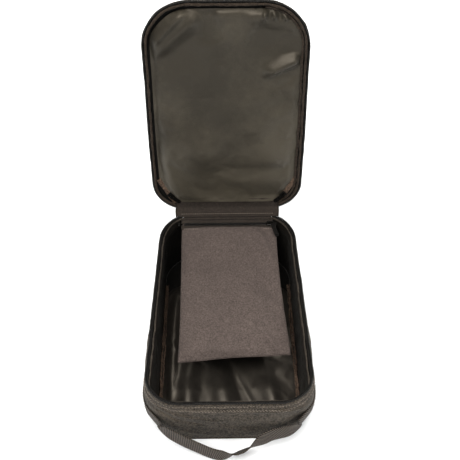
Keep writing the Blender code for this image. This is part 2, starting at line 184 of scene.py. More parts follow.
def bump_by(tree, shader, *layers):
    """Bumps the surface by one (height, strength, distance) over another."""
    under = {}
    for height, strength, distance in layers:
        inputs = {"Height": height, "Strength": strength, "Distance": distance, **under}
        under = {"Normal": node(tree, "ShaderNodeBump", inputs).outputs[0]}
    tree.links.new(under["Normal"], shader.inputs["Normal"])


def shade(colour, factor):
    return tuple(min(1.0, channel * factor) for channel in colour)


def weighted(tree, parts):
    """The sum of some outputs, each times its weight."""
    total = None
    for part, weight in parts:
        share = maths(tree, "MULTIPLY", part, weight)
        total = share if total is None else maths(tree, "ADD", total, share)
    return total


def uneven_gloss(tree, shader, factor, low, high):
    """Roughness that runs from low to high with a factor."""
    gloss = node(tree, "ShaderNodeMapRange", {"Value": factor, "To Min": low, "To Max": high})
    tree.links.new(gloss.outputs[0], shader.inputs["Roughness"])


def cloth_material(
    name,
    colour,
    pitch,
    roughness,
    bump=0.35,
    twill=False,
    contrast=0.35,
    sheen=0.06,
    weave=0.3,
    fleck=1.9 * MM,
    spread=0.14,
):
    """Woven cloth: threads in colour and bump, fibre speckle, faded patches and uneven gloss.

    pitch is the size of a thread and fleck of a fleck. weave says how much the threads count in the
    colour. contrast is how far it goes from its middle, and spread how soon it gets there.
    """
    material, tree, shader = new_material(
        name, Sheen_Weight=sheen, Sheen_Roughness=0.45, Specular_IOR_Level=0.25
    )
    height = thread_height(tree, pitch, twill)
    fibres = speckle(tree, 0.9 * MM, 3.0)
    flecks = speckle(tree, fleck)
    patches = speckle(tree, 26 * MM, 3.0)
    shares = ((height, weave), (fibres, 0.7), (flecks, 0.8), (patches, 0.18))
    mixed = weighted(tree, shares)
    middle = 0.5 * sum(weight for _, weight in shares)
    colour_by(
        tree,
        shader,
        maths(tree, "MULTIPLY", mixed, 0.5 / middle),
        [
            (0.5 - spread, shade(colour, 1 - contrast)),
            (0.5, colour),
            (0.5 + spread, shade(colour, 1 + 1.4 * contrast)),
        ],
    )
    uneven_gloss(tree, shader, patches, roughness - 0.06, roughness + 0.08)
    rise = maths(tree, "ADD", height, maths(tree, "MULTIPLY", fibres, 0.8))
    bump_by(tree, shader, (rise, bump, 0.4 * pitch))
    return material


def coated_material(name, colour, roughness, gleam, painted_light=0.0):
    """A tight woven lining with a coated back: softly shining, with fine creases and dull clouds.

    worn is painted light and shade: it makes it paler low down and darker high up, between two heights.
    """
    painted_light_low, painted_light_high = 0.11, 0.33
    material, tree, shader = new_material(
        name, Specular_IOR_Level=gleam, Specular_Tint=(1.0, 0.92, 0.81, 1), Sheen_Weight=0.05
    )
    fine = thread_height(tree, 0.45 * MM, False)
    grain = speckle(tree, 1.2 * MM, 3.0)
    creases = speckle(tree, 9 * MM, 4.0)
    clouds = speckle(tree, 70 * MM, 1.0)
    mixed = weighted(tree, ((clouds, 0.6), (grain, 0.2), (creases, 0.2)))
    place = node(tree, "ShaderNodeTexCoord").outputs["Object"]
    height = node(tree, "ShaderNodeSeparateXYZ", {0: place}).outputs["Z"]
    # painted light and shade: paler low down and darker high up, by height alone
    limits = {"From Min": painted_light_low, "From Max": painted_light_high, "To Min": painted_light, "To Max": -0.6 * painted_light}
    painted_light_map = node(tree, "ShaderNodeMapRange", {"Value": height, **limits})
    mixed = maths(tree, "ADD", mixed, painted_light_map.outputs[0])
    stops = [(0.38, shade(colour, 0.62)), (0.5, colour), (0.62, shade(colour, 1.4))]
    colour_by(tree, shader, mixed, stops)
    uneven_gloss(tree, shader, creases, roughness - 0.05, roughness + 0.07)
    bump_by(tree, shader, (fine, 0.12, 0.05 * MM), (creases, 0.25, 0.5 * MM))
    return material


def hard_material(name, colour, roughness, gleam=0.5):
    """Moulded nylon or plated metal, with rubbed patches and a fine grain."""
    material, tree, shader = new_material(name, Specular_IOR_Level=gleam)
    rubbed = speckle(tree, 3.5 * MM, 4.0)
    stops = [(0.35, shade(colour, 0.8)), (0.6, colour), (0.75, shade(colour, 1.8))]
    colour_by(tree, shader, rubbed, stops)
    uneven_gloss(tree, shader, rubbed, roughness + 0.1, roughness - 0.08)
    bump_by(tree, shader, (speckle(tree, 0.6 * MM), 0.1, 0.1 * MM))
    return material


WOVEN = cloth_material(
    "woven_polyester",
    (0.045, 0.037, 0.0285),
    1.0 * MM,
    0.8,
    bump=0.9,
    contrast=0.92,
    fleck=2.6 * MM,
    spread=0.09,
)
POUCH_CLOTH = cloth_material(
    "pouch_polyester", (0.081, 0.066, 0.061), 0.9 * MM, 0.88, bump=0.6, contrast=0.42
)
HINGE_CLOTH = cloth_material(
    "hinge_polyester", (0.029, 0.0235, 0.020), 0.9 * MM, 0.85, bump=0.6, contrast=0.5
)
RIM_EDGE = cloth_material("rim_edge", (0.036, 0.030, 0.024), 0.8 * MM, 0.8, bump=0.6, contrast=0.6)
BINDING = cloth_material("binding_tape", (0.032, 0.024, 0.018), 0.8 * MM, 0.85, bump=0.8, contrast=0.7)
FRAYED = cloth_material("frayed_seam", (0.085, 0.060, 0.045), 0.9 * MM, 0.95, bump=0.9, contrast=0.75)
TAPE = cloth_material("zip_tape", (0.006, 0.0055, 0.005), 0.9 * MM, 0.85, twill=True, sheen=0.0)
WEBBING = cloth_material(
    "webbing",
    (0.052, 0.043, 0.036),
    2.6 * MM,
    0.7,
    bump=1.0,
    twill=True,
    contrast=0.95,
    weave=3.2,
    spread=0.1,
)
WALL_LINING = cloth_material(
    "wall_lining", (0.011, 0.0095, 0.0075), 0.8 * MM, 0.55, bump=0.6, contrast=0.6, sheen=0.03
)
COATED = coated_material("coated_lining", (0.0185, 0.0165, 0.0145), 0.41, 1.0)
# the lid lining gets painted light low down and painted shade high up
LID_COATED = coated_material("lid_lining", (0.036, 0.032, 0.0245), 0.46, 0.42, painted_light=0.11)
THREAD = cloth_material("thread", (0.23, 0.195, 0.165), 0.5 * MM, 0.6)
FOAM = cloth_material("foam_board", (0.12, 0.12, 0.12), 0.9 * MM, 0.95)
COIL = hard_material("zip_coil", (0.006, 0.0055, 0.005), 0.36)
BOARD = hard_material("plastic_board", (0.06, 0.06, 0.06), 0.6)
METAL = hard_material("black_metal", (0.007, 0.0067, 0.0063), 0.2, gleam=0.25)


# ---------------------------------------------------------------- mesh helpers


def link(name, mesh, material):
    """A smooth-shaded object in the scene."""
    obj = bpy.data.objects.new(name, mesh)
    bpy.context.scene.collection.objects.link(obj)
    mesh.materials.append(material)
    for polygon in mesh.polygons:
        polygon.use_smooth = True
    return obj


def skin(shape, rings):
    """Faces over a row of rings of points, closed at both ends."""
    count = len(rings[0])
    for low_ring, high_ring in zip(rings, rings[1:]):
        for corner in range(count):
            after = (corner + 1) % count
            shape.faces.new(
                (low_ring[corner], low_ring[after], high_ring[after], high_ring[corner])
            )
    shape.faces.new(rings[0][::-1])
    shape.faces.new(rings[-1])


def finished(name, shape, material):
    """A piece made of everything modelled in a bmesh, which is then freed."""
    bmesh.ops.recalc_face_normals(shape, faces=shape.faces)
    mesh = bpy.data.meshes.new(name)
    shape.to_mesh(mesh)
    shape.free()
    return link(name, mesh, material)


def raised(flat, height):
    """Flat places or directions, given a height each or the same one."""
    height = np.broadcast_to(height, flat.shape[:-1])
    return np.concatenate([flat, height[..., None]], -1)


def closed(places):
    """A loop's places, with the first one repeated at the end."""
    return np.concatenate([places, places[:1]])


def run_lengths(places):
    """How far along a run each of its places is."""
    steps = np.linalg.norm(np.diff(places, axis=0), axis=1)
    return np.concatenate([[0], np.cumsum(steps)])


def softened(path):
    """A path with its corners eased, between its two fixed ends."""
    for _ in range(3):
        path[1:-1] = (path[:-2] + 2 * path[1:-1] + path[2:]) / 4
    return path


def round_profile(radius, sides=12, sway=0.0, lift=0.0, tall=1.0):
    """A round bead's (outwards, up) profile. Its radius and its sway may differ along its run."""
    turns = [math.tau * step / sides for step in range(sides)]
    return np.stack(
        [
            np.stack([sway + radius * math.cos(turn), lift + tall * radius * math.sin(turn)], -1)
            for turn in turns
        ]
    )


def smooth(obj):
    subdivision = obj.modifiers.new("smooth", "SUBSURF")
    subdivision.levels = subdivision.render_levels = 1


def grid_piece(name, grid, material, around=False, tube=False, thickness=0.0, flip=False):
    """Cloth through a grid of points, rows by columns. around joins the last column to the first.

    tube joins the last row to the first. The UVs run in metres along the cloth.
    """
    grid = np.asarray(grid, float)
    rows, columns = grid.shape[:2]
    row_steps = rows if tube else rows - 1
    column_steps = columns if around else columns - 1
    next_row = np.roll(grid, -1, 0)
    next_column = np.roll(grid, -1, 1)
    u = np.concatenate([[0], np.cumsum(np.linalg.norm(next_column - grid, axis=2).mean(0))])
    v = np.concatenate([[0], np.cumsum(np.linalg.norm(next_row - grid, axis=2).mean(1))])
    faces, uvs = [], []
    for row in range(row_steps):
        for column in range(column_steps):
            corners = [(row, column), (row, column + 1), (row + 1, column + 1), (row + 1, column)]
            if flip:
                corners.reverse()
            faces.append([(r % rows) * columns + c % columns for r, c in corners])
            uvs += [(u[c], v[r]) for r, c in corners]
    mesh = bpy.data.meshes.new(name)
    mesh.from_pydata(grid.reshape(-1, 3).tolist(), [], faces)
    layer = mesh.uv_layers.new(name="cloth")
    layer.data.foreach_set("uv", np.array(uvs, float).ravel())
    obj = link(name, mesh, material)
    if thickness:
        solidify = obj.modifiers.new("thickness", "SOLIDIFY")
        solidify.thickness = thickness
        solidify.offset = -1
    return obj


def at_lengths(places, lengths, wanted):
    """The places at the wanted lengths along a run."""
    return np.stack([np.interp(wanted, lengths, column) for column in places.T], -1)


def outline(inset, spacing, zip_only=False, corners=BASE_CORNERS):
    """Points round the case's outline moved in by inset, with outward normals and lengths along it.

    It runs from the middle of the back round the right side. zip_only keeps the zip's three sides.
    corners holds the radius of the corners at the handle's end and at the hinge's end.
    """
    front, back = corners
    dense = [(0.0, HALF_LENGTH - inset)]
    for side_x, side_y, start in ((1, 1, 90), (1, -1, 0), (-1, -1, -90), (-1, 1, -180)):
        radius = back if side_y > 0 else front
        for step in range(25):
            angle = math.radians(start - 90 * step / 24)
            dense.append(
                (
                    side_x * (HALF_WIDTH - radius) + (radius - inset) * math.cos(angle),
                    side_y * (HALF_LENGTH - radius) + (radius - inset) * math.sin(angle),
                )
            )
    dense.append(dense[0])
    dense = np.array(dense)
    lengths = run_lengths(dense)
    total = lengths[-1]
    start = HALF_WIDTH - back + (back - inset) * (math.pi / 2 - ZIP_END) if zip_only else 0
    count = max(8, round((total - 2 * start) / spacing))
    along = np.linspace(start, total - start, count + 1)
    if not zip_only:
        along = along[:-1]
    points = at_lengths(dense, lengths, along)
    step = 0.4 * MM
    ahead, behind = (at_lengths(dense, lengths, (along + way) % total) for way in (step, -step))
    tangents = ahead - behind
    tangents /= np.linalg.norm(tangents, axis=1)[:, None]
    normals = np.stack([-tangents[:, 1], tangents[:, 0]], 1)
    return points, normals, along


def relaxed(places):
    """The soft base's own shape: drawn in towards the hinge, and spread out at the front."""
    places = np.array(places, float)
    stretch = np.interp(
        places[..., 1] / HALF_LENGTH,
        (-1, -0.84, -0.67, -0.33, 0, 0.33, 0.67, 1),
        (0.025, 0.025, 0.012, 0.0, -0.018, -0.037, -0.052, -0.054),
    )
    height_share = np.clip(places[..., 2] / RIM_Z, 0, 1.2)
    places[..., 0] *= 1 + stretch * (0.15 + 0.85 * height_share)
    return places


def on_lid(places):
    """Places in the closed lid's frame, carried to the open lid. Its cloth is widest past its middle."""
    places = np.array(places, float)
    places[..., 0] *= 1.006 + 0.024 * ease(places[..., 1], -0.6 * HALF_LENGTH, 0.35 * HALF_LENGTH)
    return moved(places, LID)


def swept(points, normals, profile, low=0.0):
    """A grid that carries a profile of (outwards, up) round an outline. It may differ point by point."""
    profile = np.asarray(profile, float)
    if profile.ndim == 2:
        profile = np.repeat(profile[:, None], len(points), 1)
    flat = points[None] + normals[None] * profile[..., :1]
    return np.concatenate([flat, profile[..., 1:] + low], 2)


def moved(grid, matrix):
    """Points of a grid, carried by a matrix."""
    turn = np.array(matrix.to_3x3())
    return np.asarray(grid) @ turn.T + np.array(matrix.translation)


def waves(points, size, seed, detail=2):
    """Smooth noise from about -1 to 1 at each point, with bumps of about this size."""
    flat = np.asarray(points, float).reshape(-1, np.shape(points)[-1])
    offset = Vector((seed * 7.31, seed * 3.17, seed * 1.73))
    values = [
        noise.fractal(Vector((*point, 0)[:3]) / size + offset, 0.8, 2.0, detail) for point in flat
    ]
    return np.array(values).reshape(np.shape(points)[:-1])


def ease(value, low, high):
    """0 up to low, 1 from high, and smooth between."""
    share = np.clip((np.asarray(value, float) - low) / (high - low), 0, 1)
    return share * share * (3 - 2 * share)


def fold(x, y, start, end, width):
    """A ridge of height 1 along a line between two points, fading at its ends."""
    start, end = np.array(start), np.array(end)
    run = end - start
    length = np.linalg.norm(run)
    run = run / length
    along = (x - start[0]) * run[0] + (y - start[1]) * run[1]
    across = -(x - start[0]) * run[1] + (y - start[1]) * run[0]
    ends = ease(along, -0.25 * length, 0.2 * length) * (1 - ease(along, 0.8 * length, 1.25 * length))
    return ends * np.exp(-((across / width) ** 2))


def ridges(x, y, folds):
    """The sum of folds, each given as its start, end, width and height."""
    return sum(height * fold(x, y, start, end, width) for start, end, width, height in folds)


def roughened(grid, size, height, seed, detail=2):
    """A grid with its points shifted by noise, the same in all three directions."""
    return grid + (waves(grid, size, seed, detail) * height)[..., None]


def stitches(name, path, facing, body, length=2.6 * MM, gap=1.2 * MM, radius=0.32 * MM):
    """A row of thread stitches along a path, lying on a surface that faces the given way."""
    path = np.asarray(path, float)
    lengths = run_lengths(path)
    facing = np.broadcast_to(np.asarray(facing, float), path.shape)
    shape = bmesh.new()
    for index in range(int(lengths[-1] // (length + gap))):
        start = index * (length + gap) + gap / 2
        places = [
            Vector(at_lengths(path, lengths, start + length * share)) for share in (0, 0.5, 1)
        ]
        up = Vector(at_lengths(facing, lengths, start)).normalized()
        forward = (places[2] - places[0]).normalized()
        side = forward.cross(up).normalized()
        rings = []
        # its ends dip into the cloth and are thin, and its middle stands proud
        for place, lift, size in zip(places, (-0.5, 0.75, -0.5), (0.55, 1.0, 0.55)):
            middle = place + up * lift * radius
            turns = (math.tau * corner / 6 for corner in range(6))
            rings.append(
                [
                    shape.verts.new(
                        middle
                        + (side * math.cos(turn) + up * math.sin(turn) * 0.8) * radius * size
                    )
                    for turn in turns
                ]
            )
        skin(shape, rings)
    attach(finished(name, shape, THREAD), body)


def settle(obj, pinned, frames, growth, cap, softness=2.0):
    """Runs cloth on a grid piece whose pinned points stay, and keeps the result.

    growth makes the cloth larger than its frame, so that it buckles. cap limits how far a point moves.
    """
    group = obj.vertex_groups.new(name="held")
    group.add(np.flatnonzero(pinned).tolist(), 1.0, "REPLACE")
    before = np.array([vertex.co for vertex in obj.data.vertices])
    cloth = obj.modifiers.new("settle", "CLOTH")
    settings = cloth.settings
    settings.quality = 6
    settings.mass = 0.3
    settings.tension_stiffness = settings.compression_stiffness = 12
    settings.shear_stiffness = 6
    settings.bending_stiffness = softness
    settings.air_damping = 2.0
    settings.vertex_group_mass = "held"
    settings.pin_stiffness = 1.0
    settings.shrink_min = -growth
    settings.effector_weights.gravity = 0
    cloth.collision_settings.use_collision = False
    thickness = obj.modifiers.get("thickness")
    if thickness:
        thickness.show_viewport = False
    scene = bpy.context.scene
    for step in range(1, frames + 1):
        scene.frame_set(step)
    graph = bpy.context.evaluated_depsgraph_get()
    after = np.array([vertex.co for vertex in obj.evaluated_get(graph).data.vertices])
    obj.modifiers.remove(cloth)
    if thickness:
        thickness.show_viewport = True
    scene.frame_set(1)
    shift = after[: len(before)] - before
    size = np.linalg.norm(shift, axis=1)[:, None]
    shift *= np.minimum(1, cap / np.maximum(size, 1e-9))
    obj.data.vertices.foreach_set("co", (before + shift).ravel())
    obj.data.update()


# ---------------------------------------------------------------- base: outside


def outward_bulge(points, height_share):
    """How far the soft wall stands out at a share of its height: most on the long sides."""
    x, y = points[:, 0], points[:, 1]
    long_side = ease(np.abs(x), 0.75 * HALF_WIDTH, 0.98 * HALF_WIDTH)
    towards_front = 0.35 + 0.65 * ease(-y, -0.07, 0.07)
    size = 1.0 * MM + 4.0 * MM * long_side * towards_front
    profile = np.sin(np.pi * np.clip(height_share, 0, 1) ** 1.25) ** 0.7
    return size[None] * profile[:, None]


# two long creases falling from the front's upper left, one at its upper right, and faint ones
FRONT_FOLDS = (
    ((-0.09, 0.084), (-0.016, 0.058), 2.0 * MM, 1.7 * MM),
    ((-0.088, 0.074), (-0.03, 0.048), 3.0 * MM, -1.3 * MM),
    ((0.055, 0.086), (0.092, 0.074), 2.0 * MM, 1.5 * MM),
    ((-0.03, 0.083), (0.06, 0.080), 2.6 * MM, 0.9 * MM),
    ((-0.06, 0.03), (-0.02, 0.014), 4 * MM, 0.8 * MM),
    ((0.01, 0.04), (0.07, 0.03), 6 * MM, -0.9 * MM),
)
SIDE_FOLDS = (
    ((-0.09, 0.082), (-0.02, 0.066), 3 * MM, 1.3 * MM),
    ((0.02, 0.08), (0.09, 0.07), 3 * MM, 1.1 * MM),
    ((-0.05, 0.03), (0.04, 0.02), 6 * MM, 1.2 * MM),
)


def make_outer_wall():
    """The four outer walls as one soft cloth, with their creases, and the two seams at their top."""
    points, normals, along = outline(0.2 * MM, 2.2 * MM)
    heights = np.linspace(WALL_LOW - 1.0 * MM, WALL_TOP + 0.6 * MM, 40)
    share = (heights - heights[0]) / (heights[-1] - heights[0])
    out = outward_bulge(points, share)
    height_grid = np.repeat(heights[:, None], len(points), 1)
    x, y = points[None, :, 0], points[None, :, 1]
    place = np.stack(np.broadcast_arrays(x, y, height_grid), 2)
    fade = np.sin(np.pi * share)[:, None] ** 0.5
    out += waves(place, 40 * MM, 1) * 1.5 * MM * fade + waves(place, 13 * MM, 2) * 0.4 * MM * fade
    out += (y < -0.8 * HALF_LENGTH) * ridges(x, height_grid, FRONT_FOLDS)
    out += (np.abs(x) > 0.9 * HALF_WIDTH) * ridges(y, height_grid, SIDE_FOLDS)
    inset_ends = 0.9 * MM * (1 - ease(share, 0, 0.05)) + 0.7 * MM * ease(share, 0.965, 1)
    out -= inset_ends[:, None]
    grid = relaxed(swept(points, normals, np.stack([out, height_grid], 2)))
    wall = grid_piece("outer_wall_cloth", grid, WOVEN, around=True, thickness=0.9 * MM, flip=True)
    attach(wall, "base")
    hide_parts("wall_panel_front", "wall_panel_back", "wall_panel_left", "wall_panel_right")
    facing = raised(normals, 0)
    for index, drop in enumerate((3.2, 5.6)):
        row = int(np.argmin(np.abs(heights - (WALL_TOP - drop * MM))))
        path = grid[row] + facing * 0.1 * MM
        stitches(f"wall_stitches_{index + 1}", closed(path), closed(facing), "base")


def make_padding():
    """The foam boards inside the four walls, bent with the soft shell."""
    count, levels = 40, np.linspace(0, 1, 8)[:-1]
    shrink = 0.4 * MM
    for side in ("left", "right", "front", "back"):
        low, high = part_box(f"foam_board_{side}")
        ends = side in ("front", "back")
        length_way, thick_way = (0, 1) if ends else (1, 0)
        run = np.linspace(low[length_way], high[length_way], count)
        near, far = low[thick_way] + shrink, high[thick_way] - shrink
        loop = [(near, low.z), (far, low.z), (far, high.z), (near, high.z)]
        ring = [
            np.array(loop[index]) * (1 - level) + np.array(loop[(index + 1) % 4]) * level
            for index in range(4)
            for level in levels
        ]
        grid = np.zeros((len(ring), count, 3))
        for row, (across, height) in enumerate(ring):
            grid[row, :, length_way] = run
            grid[row, :, thick_way] = across
            grid[row, :, 2] = height
        board = grid_piece(f"wall_padding_{side}", relaxed(grid), FOAM, tube=True)
        close_ends(board, len(ring), count)
        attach(board, "base")
        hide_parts(f"foam_board_{side}")


def close_ends(obj, rows, columns):
    """Closes both ends of a tube that was made from a grid."""
    shape = bmesh.new()
    shape.from_mesh(obj.data)
    shape.verts.ensure_lookup_table()
    for column in (0, columns - 1):
        shape.faces.new([shape.verts[row * columns + column] for row in range(rows)])
    bmesh.ops.recalc_face_normals(shape, faces=shape.faces)
    shape.to_mesh(obj.data)
    shape.free()


def make_seam_band():
    """The cloth band between the wall's top seam and the zip, and its stitches."""
    points, normals, along = outline(0.4 * MM, 2.2 * MM, zip_only=True)
    # a rolled seam over the wall's top, then nearly flat up to the zip and in under it
    seam = [(-0.8, -0.6), (0.5, -0.1), (1.3, 1.0), (1.2, 2.6), (0.5, 4.2)]
    upper = [(0.4, 6.5), (0.2, 8.3), (-0.6, 9.2), (-1.6, 9.4)]
    grid = swept(points, normals, np.array(seam + upper) * MM, low=WALL_TOP)
    ripple = waves(grid, 10 * MM, 4) * 0.4 * MM
    grid[..., :2] += normals[None] * ripple[..., None]
    grid = relaxed(grid)
    band = grid_piece("zip_band_cloth", grid, WOVEN, thickness=0.5 * MM, flip=True)
    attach(band, "base")
    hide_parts("base_zip_tape")
    facing = raised(normals, 0.2)
    stitches("zip_band_stitches", grid[len(seam) - 1] + facing * 0.1 * MM, facing, "base")


def make_bottom():
    """The piping round the foot, and the bottom panel, nearly flat inside it."""
    points, normals, _ = outline(2.2 * MM, 2.5 * MM)
    piping_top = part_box("base_piping")[1].z
    radius = piping_top / 2 - 0.25 * MM
    grid = relaxed(swept(points, normals, round_profile(radius), low=piping_top - radius))
    grid = roughened(grid, 6 * MM, 0.15 * MM, 5)
    piping = grid_piece("bottom_piping", grid, WOVEN, around=True, tube=True, flip=True)
    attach(piping, "base")
    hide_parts("base_piping")
    shares = np.linspace(0, 1, 26) ** 0.9
    rim = outline(3.6 * MM, 4 * MM)[0]
    centre = rim * np.array([0.0, 0.28])
    flat = centre[None] + (rim - centre)[None] * shares[:, None, None]
    lift = 0.35 * MM + waves(flat, 30 * MM, 6) * 0.25 * MM * (1 - shares[:, None] ** 6)
    bottom = relaxed(raised(flat, np.maximum(lift, 0.05 * MM)))
    cloth = grid_piece("bottom_cloth", bottom, WOVEN, around=True, flip=True)
    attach(cloth, "base")
    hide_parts("base_bottom_panel")


# ---------------------------------------------------------------- zips


def coil_teeth(name, points, normals, tops, body, replaced=None):
    """A nylon coil: one rounded loop after another, square to the zip's run.

    points are the middles of the loops, normals point across the coil, tops up.
    """
    shape = bmesh.new()
    half_across, half_along, half_up = 1.25 * MM, 0.42 * MM, 0.75 * MM
    loop = [(-1, -0.6), (-0.75, 0.55), (0, 1), (0.75, 0.55), (1, -0.6), (0, -0.8)]
    for point, normal, top in zip(points, normals, tops):
        middle, across, up = Vector(point), Vector(normal), Vector(top)
        forward = across.cross(up)
        rings = [
            [
                shape.verts.new(
                    middle
                    + forward * way * half_along
                    + across * a * half_across * size
                    + up * b * half_up * size
                )
                for a, b in loop
            ]
            for way, size in ((-1, 0.7), (-0.45, 1), (0.45, 1), (1, 0.7))
        ]
        skin(shape, rings)
    coil = finished(name, shape, COIL)
    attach(coil, body)
    if replaced:
        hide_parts(replaced)


def make_base_zip():
    """The coil that lies along the base's rim, and the black tape inside it."""
    points, normals, _ = outline(1.55 * MM, COIL_PITCH, zip_only=True)
    place = raised(points, RIM_Z - 0.9 * MM)
    wobble = waves(place, 24 * MM, 8)[:, None] * 0.7 * MM
    place[:, :2] += normals * wobble
    place[:, 2] += waves(place, 20 * MM, 7) * 0.7 * MM
    tops = np.tile([0, 0, 1.0], (len(points), 1))
    coil_teeth("base_zip_teeth", relaxed(place), raised(normals, 0), tops, "base", "base_zip_coil")
    points, normals, _ = outline(0.0, 2.0 * MM, zip_only=True)
    over_rim = [(-0.9, -2.7), (-1.4, -2.1), (-2.8, -1.6), (-3.8, -1.5)]
    down_inside = [(-4.7, -2.1), (-5.2, -3.4), (-5.4, -5.0)]
    grid = swept(points, normals, np.array(over_rim + down_inside) * MM, low=RIM_Z)
    grid[..., 2] += waves(grid, 16 * MM, 9) * 0.7 * MM
    tape = grid_piece("base_zip_tape_cloth", relaxed(grid), TAPE, thickness=0.4 * MM, flip=True)
    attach(tape, "base")


def make_rim_binding():
    """The soft bead inside the zip where the lining meets the rim: thinner at the handle's end."""
    points, normals, _ = outline(6.7 * MM, 1.6 * MM, zip_only=True, corners=INNER_CORNERS)
    place = raised(points, 0)
    front = near_front(points)
    radius = (1.15 - 0.35 * front) * MM * (1 + 0.35 * waves(place, 9 * MM, 10))
    sway = waves(place, 17 * MM, 51) * 0.7 * MM + 2.2 * MM * front
    grid = swept(points, normals, round_profile(radius, sway=sway, tall=1.3), low=RIM_Z - 3.1 * MM)
    grid[..., 2] += waves(place, 26 * MM, 52)[None] * 0.8 * MM
    grid = roughened(grid, 4 * MM, 0.22 * MM, 11)
    bead = grid_piece("base_rim_bead", relaxed(grid), RIM_EDGE, tube=True, flip=True)
    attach(bead, "base")
    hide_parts("base_rim_binding")


def near_front(points):
    """1 along the base's front end, and 0 from a little way along its sides."""
    return ease(-points[:, 1], 0.118, 0.138)


# ---------------------------------------------------------------- base: inside


def make_inner_wall():
    """The dark lining of the four walls, slack between the floor and a swell just below the rim."""
    points, normals, along = outline(7.0 * MM, 2.0 * MM, corners=INNER_CORNERS)
    heights = np.concatenate([np.linspace(6.2, 86, 32), np.linspace(88, 97.6, 8)]) * MM
    share = (heights - heights[0]) / (heights[-1] - heights[0])
    height_grid = np.repeat(heights[:, None], len(points), 1)
    x, y = points[None, :, 0], points[None, :, 1]
    place = np.stack(np.broadcast_arrays(x, y, height_grid), 2)
    fade = np.sin(np.pi * share)[:, None] ** 0.5
    inwards = waves(place, 30 * MM, 12) * 1.5 * MM * fade
    inwards += waves(place * np.array([1, 1, 0.3]), 9 * MM, 13) * 0.8 * MM * fade
    inwards += 1.6 * MM * np.exp(-(((share - 0.88) / 0.06) ** 2))[:, None]
    inwards -= 0.6 * MM * ease(share, 0.95, 1)[:, None]
    out = -np.maximum(inwards, -0.7 * MM)
    out += 2.0 * MM * ease(share, 0.9, 1)[:, None] * near_front(points)
    grid = relaxed(swept(points, normals, np.stack([out, height_grid], 2)))
    lining = grid_piece("inner_wall_lining", grid, WALL_LINING, around=True, thickness=0.3 * MM)
    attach(lining, "base")
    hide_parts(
        "wall_lining_front", "wall_lining_back", "wall_lining_left", "wall_lining_right"
    )


def inside_distance(x, y, inset, corners):
    """How far a point is inside the outline that lies inset from the case's edge."""
    radius = np.where(y > 0, corners[1], corners[0])
    over_x = np.maximum(np.abs(x) - (HALF_WIDTH - radius), 0)
    over_y = np.maximum(np.abs(y) - (HALF_LENGTH - radius), 0)
    side = np.minimum(HALF_WIDTH - inset - np.abs(x), HALF_LENGTH - inset - np.abs(y))
    corner = radius - inset - np.hypot(over_x, over_y)
    return np.where((over_x > 0) & (over_y > 0), corner, side)


def rounded_sheet(inset, spacing, corners):
    """A grid that fills the rounded outline, pulled from a square grid so that its edge follows it."""
    half_x, half_y = HALF_WIDTH - inset, HALF_LENGTH - inset
    xs = np.linspace(-1, 1, round(2 * half_x / spacing) + 1)
    ys = np.linspace(-1, 1, round(2 * half_y / spacing) + 1)
    grid = np.zeros((len(ys), len(xs), 2))
    for row, y_share in enumerate(ys):
        radius = (corners[1] if y_share > 0 else corners[0]) - inset
        for column, x_share in enumerate(xs):
            x, y = x_share * half_x, y_share * half_y
            reach = max(abs(x_share), abs(y_share))
            if reach > 1e-9:
                edge_x, edge_y = x / reach, y / reach
                over_x = abs(edge_x) - (half_x - radius)
                over_y = abs(edge_y) - (half_y - radius)
                if over_x > 0 and over_y > 0:
                    size = math.hypot(over_x, over_y)
                    pulled_x = math.copysign(half_x - radius + over_x / size * radius, x)
                    pulled_y = math.copysign(half_y - radius + over_y / size * radius, y)
                    blend = reach**4
                    x += (pulled_x - edge_x) * blend
                    y += (pulled_y - edge_y) * blend
            grid[row, column] = (x, y)
    return grid


FLOOR_FOLDS = (
    # between the pouch's end and the front wall
    ((-0.050, -0.030), (-0.056, -0.145), 13 * MM, 10 * MM),
    ((-0.012, -0.040), (-0.004, -0.145), 14 * MM, 9.5 * MM),
    ((0.000, -0.040), (0.028, -0.115), 8 * MM, -6.5 * MM),
    ((0.046, -0.030), (0.060, -0.130), 12 * MM, 10 * MM),
    # along the left wall
    ((-0.076, -0.09), (-0.077, 0.06), 7 * MM, 6.5 * MM),
    # under the pouch
    ((-0.02, -0.02), (0.03, 0.06), 10 * MM, 3.2 * MM),
    ((-0.05, 0.07), (0.04, 0.11), 9 * MM, 2.8 * MM),
    ((-0.04, 0.0), (-0.03, 0.06), 8 * MM, -2.0 * MM),
)


def make_floor_liner():
    """A loose shiny liner with broad soft folds. It stops short of the back wall."""
    inset = 8.6 * MM
    flat = rounded_sheet(inset, 2.4 * MM, INNER_CORNERS)
    edge = inside_distance(flat[..., 0], flat[..., 1], inset, INNER_CORNERS)
    flat[..., 1] = np.where(flat[..., 1] > 0, 0.66 * flat[..., 1], flat[..., 1])
    x, y = flat[..., 0], flat[..., 1]
    fade = ease(edge, 0, 16 * MM)
    lift = ridges(x, y, FLOOR_FOLDS) + waves(flat, 45 * MM, 14) * 1.0 * MM
    # it lies lower where the pouch can reach it
    lift *= 0.55 + 0.45 * ease(-y, 0.062, 0.090)
    height = FLOOR_Z - 0.2 * MM + 0.9 * MM * ease(edge, 0, 6 * MM)
    height = height + (lift + 2.4 * MM) * (0.15 + 0.85 * fade)
    height = np.maximum(height, FLOOR_Z - 0.3 * MM)
    liner = grid_piece("floor_lining", relaxed(raised(flat, height)), COATED)
    settle(liner, edge < 3 * MM, 24, growth=0.005, cap=2.5 * MM, softness=0.8)
    smooth(liner)
    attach(liner, "base")
    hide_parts("floor_liner")


def make_floor_shade_cloth():
    """Near-black cloth on the bottom board, seen where the liner ends: it stands for that cloth and paints
    the deep shade behind the liner's end.
    """
    flat = rounded_sheet(7.6 * MM, 6 * MM, INNER_CORNERS)
    # near-black here is painted shade behind the liner's end, as well as the cloth under it
    under = grid_piece("floor_shade_cloth", relaxed(raised(flat, FLOOR_Z - 0.9 * MM)), TAPE)
    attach(under, "base")


